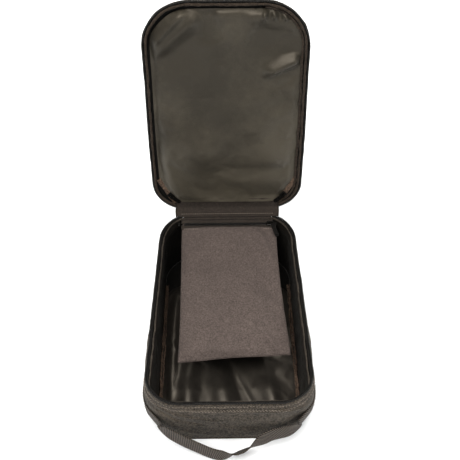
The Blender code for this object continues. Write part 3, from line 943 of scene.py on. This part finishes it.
def make_floor_seam():
    """Two frayed bound edges where the wall lining meets the floor, up to near the liner's end."""
    seen_to = 0.088
    for index, (inset, height, size) in enumerate(((8.6, 7.4, 1.5), (11.2, 7.6, 1.1))):
        points, normals, _ = outline(inset * MM, 1.2 * MM, corners=INNER_CORNERS)
        seen = points[:, 1] < seen_to
        points, normals = points[seen], normals[seen]
        place = raised(points, 0)
        radius = size * MM * (1 + 0.45 * waves(place, 4 * MM, 20 + index, 3))
        sway = waves(place, 14 * MM, 24 + index) * 1.2 * MM
        profile = round_profile(radius, sides=9, sway=sway)
        grid = swept(points, normals, profile, low=height * MM)
        grid[..., 2] += waves(place, 9 * MM, 28 + index)[None] * 0.8 * MM
        grid = roughened(grid, 2.0 * MM, 0.5 * MM, 26 + index, 3)
        seam = grid_piece(f"floor_seam_{index + 1}", relaxed(grid), FRAYED, tube=True, flip=True)
        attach(seam, "base")
        if index == 0:
            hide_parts("floor_seam_binding")


# ---------------------------------------------------------------- lid


def make_lid_side():
    """The lid's tapering side. Its profile starts at the rim and rounds over to the top."""
    points, normals, along = outline(0.0, 2.4 * MM, corners=LID_CORNERS)
    upright = [(-0.7, 2.7), (-0.2, 3.4), (-0.5, 5.0)]
    tapering = [(-1.3, 6.8), (-2.3, 8.6), (-3.4, 10.0), (-4.6, 10.7)]
    grid = swept(points, normals, np.array(upright + tapering) * MM)
    grid[..., :2] += normals[None] * (waves(grid, 14 * MM, 30) * 0.4 * MM)[..., None]
    side = grid_piece(
        "lid_side_cloth", on_lid(grid), WOVEN, around=True, thickness=0.5 * MM, flip=True
    )
    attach(side, "lid")
    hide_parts("lid_gusset", "lid_zip_tape")


def make_lid_top():
    """The lid's domed top cloth."""
    inset = 5.2 * MM
    flat = rounded_sheet(inset, 4 * MM, LID_CORNERS)
    edge = inside_distance(flat[..., 0], flat[..., 1], inset, LID_CORNERS)
    height = LID_TOP + 1.6 * MM * ease(edge, 0, 45 * MM)
    height = height + waves(flat, 34 * MM, 31) * 0.8 * MM * ease(edge, 0, 25 * MM)
    top = grid_piece("lid_top_cloth", on_lid(raised(flat, height)), WOVEN)
    smooth(top)
    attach(top, "lid")
    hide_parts("lid_top_panel")


def make_lid_piping():
    """The piping between the lid's side and its top."""
    points, normals, _ = outline(4.8 * MM, 2.2 * MM, corners=LID_CORNERS)
    grid = swept(points, normals, round_profile(1.2 * MM), low=11.2 * MM)
    grid = roughened(grid, 6 * MM, 0.15 * MM, 32)
    piping = grid_piece("lid_edge_piping", on_lid(grid), WOVEN, around=True, tube=True, flip=True)
    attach(piping, "lid")
    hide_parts("lid_piping")


def make_lid_inside():
    """The board inside the lid, and the near-black cloth that shows past the lining's edges: painted shade
    in the gap between the lining and the ring, as well as the cloth there.
    """
    flat = rounded_sheet(7.0 * MM, 8 * MM, LID_CORNERS)
    stiffener = grid_piece(
        "lid_stiffener", on_lid(raised(flat, LID_BOARD)), FOAM, thickness=3.2 * MM
    )
    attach(stiffener, "lid")
    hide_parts("lid_board")

    # near-black backing: it also paints the shade of the gap between the lining and the ring
    flat = rounded_sheet(2.4 * MM, 4 * MM, LID_CORNERS)
    shade_backing = grid_piece("lid_backing_shade_cloth", on_lid(raised(flat, LID_BACKING)), TAPE, flip=True)
    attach(shade_backing, "lid")


def make_lid_zip():
    """The lid's half of the zip: its coil and its black tape."""
    points, normals, _ = outline(1.5 * MM, COIL_PITCH, zip_only=True, corners=LID_CORNERS)
    place = raised(points, 1.3 * MM)
    place[:, :2] += normals * waves(place, 22 * MM, 33)[:, None] * 0.6 * MM
    turn = np.array(LID.to_3x3())
    across = raised(normals, 0) @ turn.T
    tops = np.tile(turn @ np.array([0, 0, -1.0]), (len(points), 1))
    coil_teeth("lid_zip_teeth", on_lid(place), across, tops, "lid", "lid_zip_coil")

    points, normals, _ = outline(0.0, 2.0 * MM, zip_only=True, corners=LID_CORNERS)
    profile = np.array([(-0.5, 3.2), (-0.8, 2.3), (-2.2, 1.9), (-3.4, 2.2), (-4.2, 3.4)]) * MM
    grid = swept(points, normals, profile)
    tape = grid_piece("lid_zip_tape_cloth", on_lid(grid), TAPE, thickness=0.4 * MM)
    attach(tape, "lid")


def make_lid_rim():
    """The soft bound edge inside the lid's zip."""
    points, normals, _ = outline(0.0, 2.0 * MM, zip_only=True, corners=LID_CORNERS)
    place = raised(points, 0)
    radius = 1.7 * MM * (1 + 0.28 * waves(place, 8 * MM, 34, 3))
    sway = waves(place, 20 * MM, 35) * 0.7 * MM - 5.0 * MM
    profile = round_profile(radius, sway=sway, lift=1.9 * MM, tall=1.1)
    grid = swept(points, normals, profile)
    grid = roughened(grid, 3.5 * MM, 0.22 * MM, 37)
    binding = grid_piece("lid_rim_edge", on_lid(grid), BINDING, tube=True)
    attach(binding, "lid")
    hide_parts("lid_rim_binding")


def make_lid_ruffle():
    """The gathered edge of binding between the ring and the lining, on the right side only."""
    points, normals, _ = outline(7.4 * MM, 1.2 * MM, zip_only=True, corners=LID_CORNERS)
    keep = points[:, 0] > 0.45 * HALF_WIDTH
    points, normals = points[keep], normals[keep]
    place = raised(points, 0)
    crimp = waves(place, 5 * MM, 38, 3) * 1.6 * MM
    sway = waves(place, 13 * MM, 39) * 1.8 * MM
    rows = [
        np.stack([out * MM + sway * loose, height * MM + crimp * loose], 1)
        for out, height, loose in (
            (0.4, 3.6, 0.1),
            (-0.3, 2.6, 0.6),
            (-1.2, 2.1, 1.0),
            (-2.2, 2.3, 1.0),
            (-3.0, 3.4, 0.7),
            (-3.3, 4.6, 0.2),
        )
    ]
    grid = swept(points, normals, np.stack(rows))
    ruffle = grid_piece("lid_lining_ruffle", on_lid(grid), BINDING, thickness=0.5 * MM)
    smooth(ruffle)
    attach(ruffle, "lid")


def make_lid_corner_binding():
    """The bound seam that closes each hinge-side corner of the lid, beside the lining's slanted edge."""
    # half width, and distance from the back, just past either end of the lining's slanting cut
    start = np.array([90.0, HALF_LENGTH / MM - 52]) * MM
    end = np.array([68.5, HALF_LENGTH / MM - 12]) * MM
    run = (end - start) / np.linalg.norm(end - start)
    outwards = np.array([run[1], -run[0]])
    middle = start + (end - start) * np.linspace(0, 1, 46)[:, None]
    middle = middle + outwards * 2.2 * MM
    place = raised(middle, 0)
    profile = ((-3.4, 5.8), (-2.4, 4.4), (-0.6, 3.7), (1.2, 4.2), (2.8, 3.8), (4.0, 5.6))
    for side, sign in (("left", -1), ("right", 1)):
        crimp = waves(place, 5 * MM, 90 + sign, 3) * 0.9 * MM
        widening = 1 + 0.3 * waves(place, 11 * MM, 94 + sign)
        grid = np.stack(
            [
                raised(middle + outwards * (across * MM * widening)[:, None], height * MM + crimp)
                for across, height in profile
            ]
        )
        grid[..., 0] *= sign
        strip = grid_piece(
            f"lid_corner_binding_{side}", on_lid(grid), FRAYED, thickness=0.5 * MM, flip=sign > 0
        )
        smooth(strip)
        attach(strip, "lid")


LINING_INSET = 10.6 * MM
# in mm: each hinge-side corner of the lid lining is cut off along a slanting line, from one half
# width and distance from the back to another
CUT_FROM_HALF, CUT_FROM_BACK = 90.5, 50
CUT_TO_HALF, CUT_TO_BACK = 69.5, 13


def lining_edge(x, y):
    """Distance inside the lid lining's edge: rounded outline with its hinge-side corners cut off."""
    rounded = inside_distance(x, y, LINING_INSET, LINING_CORNERS)
    hinge_end = HALF_LENGTH - 12.5 * MM - y
    run = Vector((CUT_TO_HALF - CUT_FROM_HALF, CUT_FROM_BACK - CUT_TO_BACK)).normalized()
    to_side, to_back = CUT_FROM_HALF * MM - np.abs(x), HALF_LENGTH - CUT_FROM_BACK * MM - y
    return np.minimum(np.minimum(rounded, hinge_end), to_side * run.y - to_back * run.x)


LID_FOLDS = (
    # free end, left: two bright crescent folds across the corner and the hollow beside them
    ((-0.086, -0.099), (-0.047, -0.137), 4.5 * MM, 4.6 * MM),
    ((-0.080, -0.088), (-0.034, -0.130), 7.0 * MM, 4.2 * MM),
    ((-0.026, -0.138), (-0.014, -0.104), 8 * MM, -4.0 * MM),
    # free end, right: puckers at the edge, then two slanting ridges from the long side
    ((0.046, -0.140), (0.043, -0.126), 1.7 * MM, 2.6 * MM),
    ((0.055, -0.139), (0.056, -0.127), 1.7 * MM, 2.4 * MM),
    ((0.067, -0.137), (0.070, -0.126), 2.0 * MM, 2.8 * MM),
    ((0.050, -0.139), (0.050, -0.128), 1.3 * MM, -1.6 * MM),
    ((0.061, -0.138), (0.063, -0.126), 1.6 * MM, -2.0 * MM),
    ((0.028, -0.124), (0.048, -0.136), 7 * MM, 1.6 * MM),
    ((0.036, -0.106), (0.084, -0.094), 9 * MM, -4.6 * MM),
    ((0.050, -0.060), (0.090, -0.079), 6.5 * MM, 5.6 * MM),
    ((0.055, -0.044), (0.088, -0.062), 7 * MM, -3.2 * MM),
    # middle and hinge end: a broad soft bulge whose lower side is in shade
    ((-0.080, 0.040), (-0.020, 0.062), 24 * MM, 3.4 * MM),
    ((0.03, 0.02), (0.07, 0.07), 14 * MM, 1.6 * MM),
)


def make_lid_lining():
    """A loose shiny lining: smooth in the middle, puckered and folded at its free corners."""
    low_y, high_y = -(HALF_LENGTH - LINING_INSET), HALF_LENGTH - CUT_TO_BACK * MM
    grid_inset = 9.6 * MM
    flat = rounded_sheet(grid_inset, 2.0 * MM, LINING_CORNERS)
    reach = HALF_LENGTH - grid_inset
    shares = (flat[..., 1] + reach) / (2 * reach)
    x = flat[..., 0].copy()
    y = low_y + shares * (high_y - low_y)
    slant = (CUT_FROM_HALF - CUT_TO_HALF) / (CUT_FROM_BACK - CUT_TO_BACK)
    limit = CUT_FROM_HALF * MM - np.maximum(0, y - (HALF_LENGTH - CUT_FROM_BACK * MM)) * slant
    x *= np.minimum(1, (limit + 0.5 * MM) / np.maximum(np.abs(x).max(1, keepdims=True), 1e-6))
    # the lining is drawn in across its free left corner, which leaves a dark gap to the ring
    from_corner = np.hypot(x + 0.080, y + 0.130)
    drawn = 3.2 * MM * np.exp(-((from_corner / 0.026) ** 2))
    x, y = x + drawn, y + drawn
    flat = np.stack([x, y], 2)
    edge = np.clip(lining_edge(x, y), 0, None)
    height = 5.2 * MM - lining_rise(x, y, edge)
    lining = grid_piece("lid_inner_lining", on_lid(raised(flat, height)), LID_COATED, flip=True)
    settle(lining, edge < 1.2 * MM, 20, growth=0.004, cap=1.2 * MM, softness=1.0)
    smooth(lining)
    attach(lining, "lid")
    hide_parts("lid_lining")


def lining_rise(x, y, edge):
    """How far the lid's lining stands out from the board, with its folds, belly and puckers."""
    rounded_edge = np.clip(inside_distance(x, y, LINING_INSET, LINING_CORNERS), 0, None)
    rounded_edge = np.where(y > 0, HALF_WIDTH, rounded_edge)
    fade = ease(edge, 0, 5 * MM)
    sides = ease(np.minimum(rounded_edge, 90 * MM - np.abs(x)), 0, 16 * MM)
    rise = 2.0 * MM * ease(edge, 0, 9 * MM)
    # a soft belly above the hinge: below it, and more so on the right, the lining falls back
    rise += 4.0 * MM * ease(y, -0.03, 0.06) * sides
    rise -= 3.2 * MM * ease(y, 0.064, 0.086) * ease(x, -0.05, 0.03) * sides
    rise -= 2.2 * MM * ease(y, 0.090, 0.122) * sides
    for start, end, width, size in LID_FOLDS:
        rise += 1.5 * size * fold(x, y, start, end, 1.25 * width) * fade
    flat = np.stack([x, y], 2)
    rise += waves(flat, 60 * MM, 40) * 2.8 * MM * fade
    around_edge = np.exp(-((edge - 4 * MM) / (3.5 * MM)) ** 2)
    rise += waves(flat, 9 * MM, 42) * (0.15 + 0.4 * ease(x, 0, 0.05)) * MM * around_edge
    at_hinge = 1 - ease(HALF_LENGTH - CUT_TO_BACK * MM - y, 0, 12 * MM)
    rise = rise * (1 - at_hinge) + 3.6 * MM * at_hinge
    # hollows flatten out where they would reach the cloth behind
    shallow = 0.8 * MM
    return np.where(rise > shallow, rise, shallow * np.exp(np.minimum(rise / shallow, 1) - 1))


# ---------------------------------------------------------------- hinge


def lid_spot(along, outwards):
    """A place on the open lid: mm along it from the hinge, and mm out from where it meets the base."""
    return LID @ Vector((0, LID_PIVOT.y - along * MM, outwards * MM))


def ribbon_between(name, profile, half_width, material):
    """Cloth across the hinge: a path of (y, z) places, carried from side to side."""
    columns = 70
    profile = np.asarray(profile, float)
    lengths = run_lengths(profile)
    path = softened(at_lengths(profile, lengths, np.linspace(0, lengths[-1], 22)))
    grid = np.zeros((len(path), columns, 3))
    grid[..., 0] = np.linspace(-half_width, half_width, columns)[None]
    grid[..., 1:] = path[:, None]
    fade = np.sin(np.pi * np.linspace(0, 1, len(path)))[:, None]
    tangent = np.gradient(path, axis=0)
    tangent /= np.linalg.norm(tangent, axis=1)[:, None]
    normal = np.stack([tangent[:, 1], -tangent[:, 0]], 1)
    lift = waves(grid, 16 * MM, 50) * 0.5 * MM * fade
    grid[..., 1:] += normal[:, None] * lift[..., None]
    strip = grid_piece(name, grid, material, thickness=0.6 * MM)
    return strip, grid, normal


def make_hinge():
    """The cloth strips inside and outside the hinge, with the stitches along the inner one."""
    back = HALF_LENGTH
    inner_path = [(back - 8.6 * MM, RIM_Z - 0.8 * MM), (back - 6.0 * MM, RIM_Z - 0.2 * MM)]
    inner_path += [lid_spot(along, out).yz for along, out in ((4.5, 2.6), (9, 2.5), (19, 2.7))]
    strip, grid, normal = ribbon_between("hinge_cloth_inner", inner_path, HINGE_HALF, HINGE_CLOTH)
    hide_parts("hinge_strip_inner")
    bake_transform(strip)
    sewn_row = 3
    facing = np.array([0, normal[sewn_row, 0], normal[sewn_row, 1]])
    facing *= np.sign(facing[2] - facing[1])
    path = grid[sewn_row, 3:-3] + facing * 0.9 * MM
    stitches("hinge_stitches", path, facing, "base", *COARSE)

    outer_path = [(back + 0.5 * MM, WALL_TOP + 0.6 * MM), (back + 1.0 * MM, RIM_Z - 2 * MM)]
    outer_path += [lid_spot(along, out).yz for along, out in ((0.4, 3.0), (0.6, 7.0), (0.9, 11.2))]
    strip = ribbon_between("hinge_cloth_outer", outer_path, HINGE_HALF + 2 * MM, WOVEN)[0]
    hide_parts("hinge_strip_outer")
    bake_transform(strip)


# ---------------------------------------------------------------- pouch


def pouch_half_width(along):
    """Half the pouch's width at a distance from its pivot: narrow where it is sewn, flared at its end."""
    drawn = 1 - 0.08 * (1 - ease(along, 0, 12 * MM))
    return 0.955 * POUCH_HALF * drawn * (1 + 0.055 * ease(along, 0.05, POUCH_LENGTH))


def pouch_grid(start, end, columns=72, rows=104):
    """Flat pouch places, as x, distance along from its pivot, and each column's share of the width.

    The free end is drawn to one side, slants, and has its corners pulled out.
    """
    xs = np.linspace(-1, 1, columns)
    along = np.linspace(start, end, rows)
    share = ease(along, 0.02, POUCH_LENGTH)[:, None]
    corners = 2.2 * MM * (np.abs(xs[None]) - 0.4) * share**6
    x = xs[None] * pouch_half_width(along)[:, None] + 2.2 * MM + 4.6 * MM * share**1.2
    x = x + 1.5 * MM * np.sign(xs)[None] * ease(np.abs(xs), 0.75, 1)[None] * share**12
    shorter = (10.5 * MM + 4.0 * MM * xs[None]) * share**4
    return x, np.repeat(along[:, None], columns, 1) + corners - shorter, xs


POUCH_FOLDS = (
    # x and length along the pouch at both ends: beside the zip, down the middle, round the free end
    ((0.045, 0.024), (0.060, 0.070), 5 * MM, 1.7 * MM),
    ((0.028, 0.03), (0.050, 0.085), 7 * MM, -1.5 * MM),
    ((-0.056, 0.05), (-0.030, 0.17), 12 * MM, 1.7 * MM),
    ((-0.02, 0.06), (0.01, 0.15), 14 * MM, -1.3 * MM),
    ((0.046, 0.095), (0.066, 0.13), 8 * MM, -2.4 * MM),
    ((0.03, 0.12), (0.062, 0.165), 8 * MM, 1.4 * MM),
    ((-0.03, 0.15), (0.05, 0.19), 16 * MM, 1.5 * MM),
    ((-0.069, 0.212), (-0.046, 0.186), 5 * MM, 1.6 * MM),
    ((0.070, 0.212), (0.046, 0.180), 5 * MM, 1.6 * MM),
    ((-0.06, 0.20), (0.055, 0.205), 6 * MM, 1.2 * MM),
)


def make_pouch():
    """The pouch's front and back cloth, puffed apart a little, and the stitches below its zip."""
    for name, start, side, replaced in (
        ("pouch_front_cloth", 15.6 * MM, 1, ("pouch_front_panel",)),
        ("pouch_back_cloth", 3.0 * MM, -1, ("pouch_back_panel", "pouch_seam")),
    ):
        x, along, xs = pouch_grid(start, POUCH_LENGTH)
        to_side = (1 - np.abs(xs))[None] * POUCH_HALF
        to_end = np.maximum(POUCH_LENGTH - np.linspace(start, POUCH_LENGTH, len(x)), 0)[:, None]
        edge = np.minimum(to_side, to_end)
        puff = np.sqrt(np.clip(edge / (9 * MM), 0, 1)) * (1.6 - 0.6 * ease(edge, 0, 20 * MM))
        flat = np.stack([x, along], 2)
        inner = ease(edge, -1 * MM, 10 * MM)
        rise = 1.5 * MM * puff + waves(flat, 36 * MM, 60 + side) * 1.6 * MM * inner
        rise += 2.6 * MM * ease(edge, 0, 34 * MM)
        rise += waves(flat, 12 * MM, 62 + side) * 0.32 * MM
        if side > 0:
            for fold_start, fold_end, width, size in POUCH_FOLDS:
                rise += 1.7 * size * fold(x, along, fold_start, fold_end, width) * inner
        height = -2.0 * MM + side * rise
        # the free end hangs a little, and its corners turn up
        dog_ear = ease(np.abs(x), 0.78 * POUCH_HALF, POUCH_HALF)
        dog_ear = dog_ear * ease(along, 0.88 * POUCH_LENGTH, POUCH_LENGTH)
        height += 3.0 * MM * dog_ear
        height -= 1.5 * MM * ease(along, 0.93 * POUCH_LENGTH, POUCH_LENGTH)
        grid = np.stack([x, -along, height], 2)
        cloth = grid_piece(name, moved(grid, POUCH), POUCH_CLOTH, thickness=0.5 * MM, flip=side > 0)
        pinned = (edge < 1.0 * MM) | (along < start + 2 * MM)
        settle(cloth, pinned, 16, growth=0.006, cap=1.2 * MM)
        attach(cloth, "pouch")
        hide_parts(*replaced)
    up = POUCH.to_3x3() @ Vector((0, 0, 1))
    x, along, _ = pouch_grid(POUCH_SEAM_ALONG, POUCH_SEAM_ALONG, rows=1)
    path = raised(np.stack([x[0, 1:-1], -along[0, 1:-1]], 1), 1.3 * MM)
    stitches("pouch_stitches", moved(path, POUCH), up, "pouch", *COARSE)


def make_pouch_zip():
    """The pouch's two zip tapes, and the two interlocked rows of its coil."""
    half, columns = 0.935 * POUCH_HALF, 50
    for name, low, high, node_name in (
        ("pouch_tape_upper", 0.6 * MM, ZIP_ALONG - 1.6 * MM, "pouch_zip_tape_upper"),
        ("pouch_tape_lower", ZIP_ALONG + 1.6 * MM, 17.5 * MM, "pouch_zip_tape_lower"),
    ):
        along = np.linspace(low, high, 5)
        grid = np.zeros((len(along), columns, 3))
        grid[..., 0] = np.linspace(-half, half, columns)
        grid[..., 1] = -along[:, None]
        grid[..., 2] = -0.6 * MM + waves(grid, 14 * MM, 70) * 0.3 * MM
        tape = grid_piece(name, moved(grid, POUCH), HINGE_CLOTH, thickness=0.4 * MM, flip=True)
        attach(tape, "pouch")
        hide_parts(node_name)
    pitch = 1.3 * MM
    spots = np.arange(-half + 4 * MM, half - 3 * MM, pitch)
    turn = np.array(POUCH.to_3x3())
    across = np.tile(turn @ np.array([0, 1.0, 0]), (len(spots), 1))
    tops = np.tile(turn @ np.array([0, 0, 1.0]), (len(spots), 1))
    for number, shift, offset, replaced in (
        (1, 0, -1.15 * MM, "pouch_zip_coil"),
        (2, pitch / 2, 1.15 * MM, None),
    ):
        line = np.full_like(spots, -ZIP_ALONG + offset)
        places = raised(np.stack([spots + shift, line], 1), -0.2 * MM)
        name = f"pouch_zip_teeth_{number}"
        coil_teeth(name, moved(places, POUCH), across, tops, "pouch", replaced)


def make_pouch_header():
    """The pouch's top edge, sewn to the back wall's rim."""
    columns = 50
    sewn, bent, free = (
        (HALF_LENGTH - 5.5 * MM, 98.6 * MM),
        (POUCH_PIVOT.y + 2.5 * MM, 99.1 * MM),
        (POUCH_PIVOT.y - 1.2 * MM, 98.6 * MM),
    )
    grid = np.zeros((3, columns, 3))
    grid[..., 0] = np.linspace(-0.9 * POUCH_HALF, 0.9 * POUCH_HALF, columns)
    grid[..., 1:] = np.array([sewn, bent, free])[:, None]
    header = grid_piece("pouch_header_cloth", grid, HINGE_CLOTH, thickness=0.6 * MM)
    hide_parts("pouch_header")
    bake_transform(header)


# ---------------------------------------------------------------- handle


def strap(name, middles, width_ways, body, replaced):
    """Woven webbing through the given middles: a flat tube with thin edges, slightly dished."""
    curl = 0.4 * MM
    acrosses = np.linspace(-1, 1, 11)
    loops = []
    for index, middle in enumerate(middles):
        before, after = middles[max(index - 1, 0)], middles[min(index + 1, len(middles) - 1)]
        forward = (after - before).normalized()
        width_way = width_ways[index]
        width_way = (width_way - forward * width_way.dot(forward)).normalized()
        face = forward.cross(width_way)
        loop = []
        for side in (1, -1):
            for across in acrosses * side:
                crown = STRAP_HALF_THICKNESS * (1 - 0.45 * abs(across) ** 8)
                bend = curl * (across**2 - 0.4)
                loop.append(middle + width_way * across * STRAP_HALF + face * (side * crown + bend))
        loops.append(loop)
    grid = np.array(loops).transpose(1, 0, 2)
    webbing = grid_piece(name, grid, WEBBING, tube=True, flip=True)
    close_ends(webbing, grid.shape[0], grid.shape[1])
    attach(webbing, body)
    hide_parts(replaced)


def handle_place(share):
    """The middle of the webbing, from -1 at its left end to 1 at its right end.

    The loop hangs lowest a little left of its middle, and is drawn up on its right.
    """
    droop = math.radians(51)
    reach = 37 * MM * (1 - abs(share) ** 1.7) ** 0.85 + 1 * MM
    reach += 4.0 * MM * math.exp(-(((share + 0.16) / 0.26) ** 2))
    reach -= 9.5 * MM * math.exp(-(((share - 0.58) / 0.26) ** 2))
    out, down = reach * math.cos(droop), reach * math.sin(droop)
    return Vector((HANDLE_HALF * share, HANDLE_PIVOT.y - out, HANDLE_PIVOT.z - down))


def handle_width_way(share):
    """Which way the webbing's width runs: upright at its ends, and turned over by a twist between."""
    lean = -math.radians(10) + math.radians(42) * ease(share, -0.16, 0.14)
    lean -= math.radians(44) * ease(share, 0.2, 0.5)
    lean *= 1 - ease(abs(share), 0.82, 1.0)
    return Vector((0, -math.sin(lean), math.cos(lean)))


def make_handle():
    """The loop of webbing, with its points closer together towards its ends."""
    steps = 120
    shares = [-1 + 2 * step / steps for step in range(steps + 1)]
    shares = [math.copysign(abs(share) ** 0.8, share) for share in shares]
    middles = [handle_place(share) for share in shares]
    ways = [handle_width_way(share) for share in shares]
    strap("handle_strap", middles, ways, "handle", "handle_webbing")
    for side, sign in (("left", -1), ("right", 1)):
        make_tab(side, sign)


def make_tab(side, sign):
    """Webbing sewn along the case's side: it rounds the front corner and leaves for the handle's end."""
    points, normals, _ = outline(0, 2.0 * MM)
    corner_x, corner_y = HALF_WIDTH - BASE_CORNERS[0], HALF_LENGTH - BASE_CORNERS[0]
    angle = np.degrees(np.arctan2(-(points[:, 1] + corner_y), points[:, 0] - corner_x))
    sewn_from, round_to = -88 * MM, 30
    keep = (points[:, 0] > 0) & (points[:, 1] < sewn_from)
    keep &= (points[:, 1] > -corner_y) | (angle < round_to)
    points, normals = points[keep], normals[keep]
    order = np.argsort(-points[:, 1])
    points, normals = points[order], normals[order]
    stand_out = 6.2 * MM
    path = relaxed(raised(points, HANDLE_PIVOT.z))[:, :2] + normals * stand_out
    leave, end = path[-1], np.array([HANDLE_HALF, HANDLE_PIVOT.y])
    free = [leave + (end - leave) * share for share in (0.33, 0.66, 1.0)]
    path = softened(np.concatenate([path, free]))
    middles = [Vector((sign * x, y, HANDLE_PIVOT.z)) for x, y in path]
    ways = [Vector((0, 0, 1))] * len(middles)
    strap(f"handle_tab_cloth_{side}", middles, ways, "base", f"handle_tab_{side}")
    face, edge_row, box_end = 1.3 * MM, 8.2 * MM, 8
    sewn = len(points) - 4
    seam = path[:sewn] + normals[:sewn] * face
    facing = raised(normals[:sewn], 0) * np.array([sign, 1, 1])
    for index, lift in enumerate((-edge_row, edge_row)):
        row = raised(seam, HANDLE_PIVOT.z + lift) * np.array([sign, 1, 1])
        stitches(f"tab_stitches_{side}_{index + 1}", row, facing, "base")
    for index, (low, high) in enumerate(((-edge_row, edge_row), (edge_row, -edge_row))):
        box = np.stack([sign * seam[: box_end + 1, 0], path[: box_end + 1, 1]], 1)
        row = raised(box, HANDLE_PIVOT.z + np.linspace(low, high, box_end + 1))
        stitches(f"tab_cross_{side}_{index + 1}", row, (sign, 0, 0), "base")


for maker in (
    make_outer_wall,
    make_padding,
    make_seam_band,
    make_bottom,
    make_base_zip,
    make_rim_binding,
    make_inner_wall,
    make_floor_liner,
    make_floor_shade_cloth,
    make_floor_seam,
    make_lid_side,
    make_lid_top,
    make_lid_piping,
    make_lid_inside,
    make_lid_zip,
    make_lid_rim,
    make_lid_ruffle,
    make_lid_corner_binding,
    make_lid_lining,
    make_hinge,
    make_pouch,
    make_pouch_zip,
    make_pouch_header,
    make_handle,
):
    maker()

for name, obj in frame["nodes"].items():
    if not obj.hide_render:
        own_material = BOARD if name == "base_bottom_board" else METAL
        if name.startswith("zip_end"):
            own_material = BINDING
        obj.data.materials.clear()
        obj.data.materials.append(own_material)


# ---------------------------------------------------------------- stage, lights and camera


def make_stage():
    """A pale floor, a dim white world and a plain view with somewhat deeper blacks."""
    bpy.ops.mesh.primitive_plane_add(size=12, location=(0, 0, 0))
    floor = bpy.context.object
    floor.name = "floor"
    material, _, shader = new_material("pale_floor", Roughness=0.9)
    shader.inputs["Base Color"].default_value = (0.88, 0.91, 0.95, 1)
    floor.data.materials.append(material)
    world = bpy.data.worlds.new("studio")
    world.use_nodes = True
    background = world.node_tree.nodes["Background"]
    background.inputs["Color"].default_value = (1, 1, 1, 1)
    background.inputs["Strength"].default_value = 0.3
    scene = bpy.context.scene
    scene.world = world
    scene.view_settings.view_transform = "Standard"
    scene.view_settings.look = "Medium High Contrast"
    scene.view_settings.exposure = 0.16


def area_light(name, place, aim, size, power):
    """A warm square light at a place, aimed at another."""
    data = bpy.data.lights.new(name, "AREA")
    data.color = (1.0, 0.965, 0.91)
    data.size = size
    data.energy = power
    light = bpy.data.objects.new(name, data)
    bpy.context.scene.collection.objects.link(light)
    light.location = place
    light.rotation_euler = (Vector(aim) - Vector(place)).to_track_quat("-Z", "Y").to_euler()


def make_camera():
    """The photo's view: from the handle's end, looking down by 52.8 degrees."""
    look_down = 52.8
    data = bpy.data.cameras.new("camera")
    data.sensor_width = 36
    data.lens = 52.8
    data.shift_x, data.shift_y = -0.002, 0.076
    data.clip_start, data.clip_end = 0.01, 50
    camera = bpy.data.objects.new("camera", data)
    bpy.context.scene.collection.objects.link(camera)
    camera.location = (-0.003, -0.493, 0.822)
    camera.rotation_euler = (math.radians(90 - look_down), 0, math.radians(-0.74))
    bpy.context.scene.camera = camera


make_stage()
area_light("key", (-0.35, -0.55, 1.9), (0, 0, 0.1), 1.1, 26)
area_light("overhead", (0, 0.6, 4.2), (0, 0.6, 0), 5.5, 110)
area_light("back", (0.15, 1.25, 1.6), (0, 0, 0.1), 0.9, 14)
area_light("low_front", (-0.25, -1.6, 0.45), (0, 0.1, 0.2), 0.9, 2.5)
area_light("fill", (1.1, -0.9, 1.0), (0, 0.1, 0.15), 0.8, 6)
make_camera()
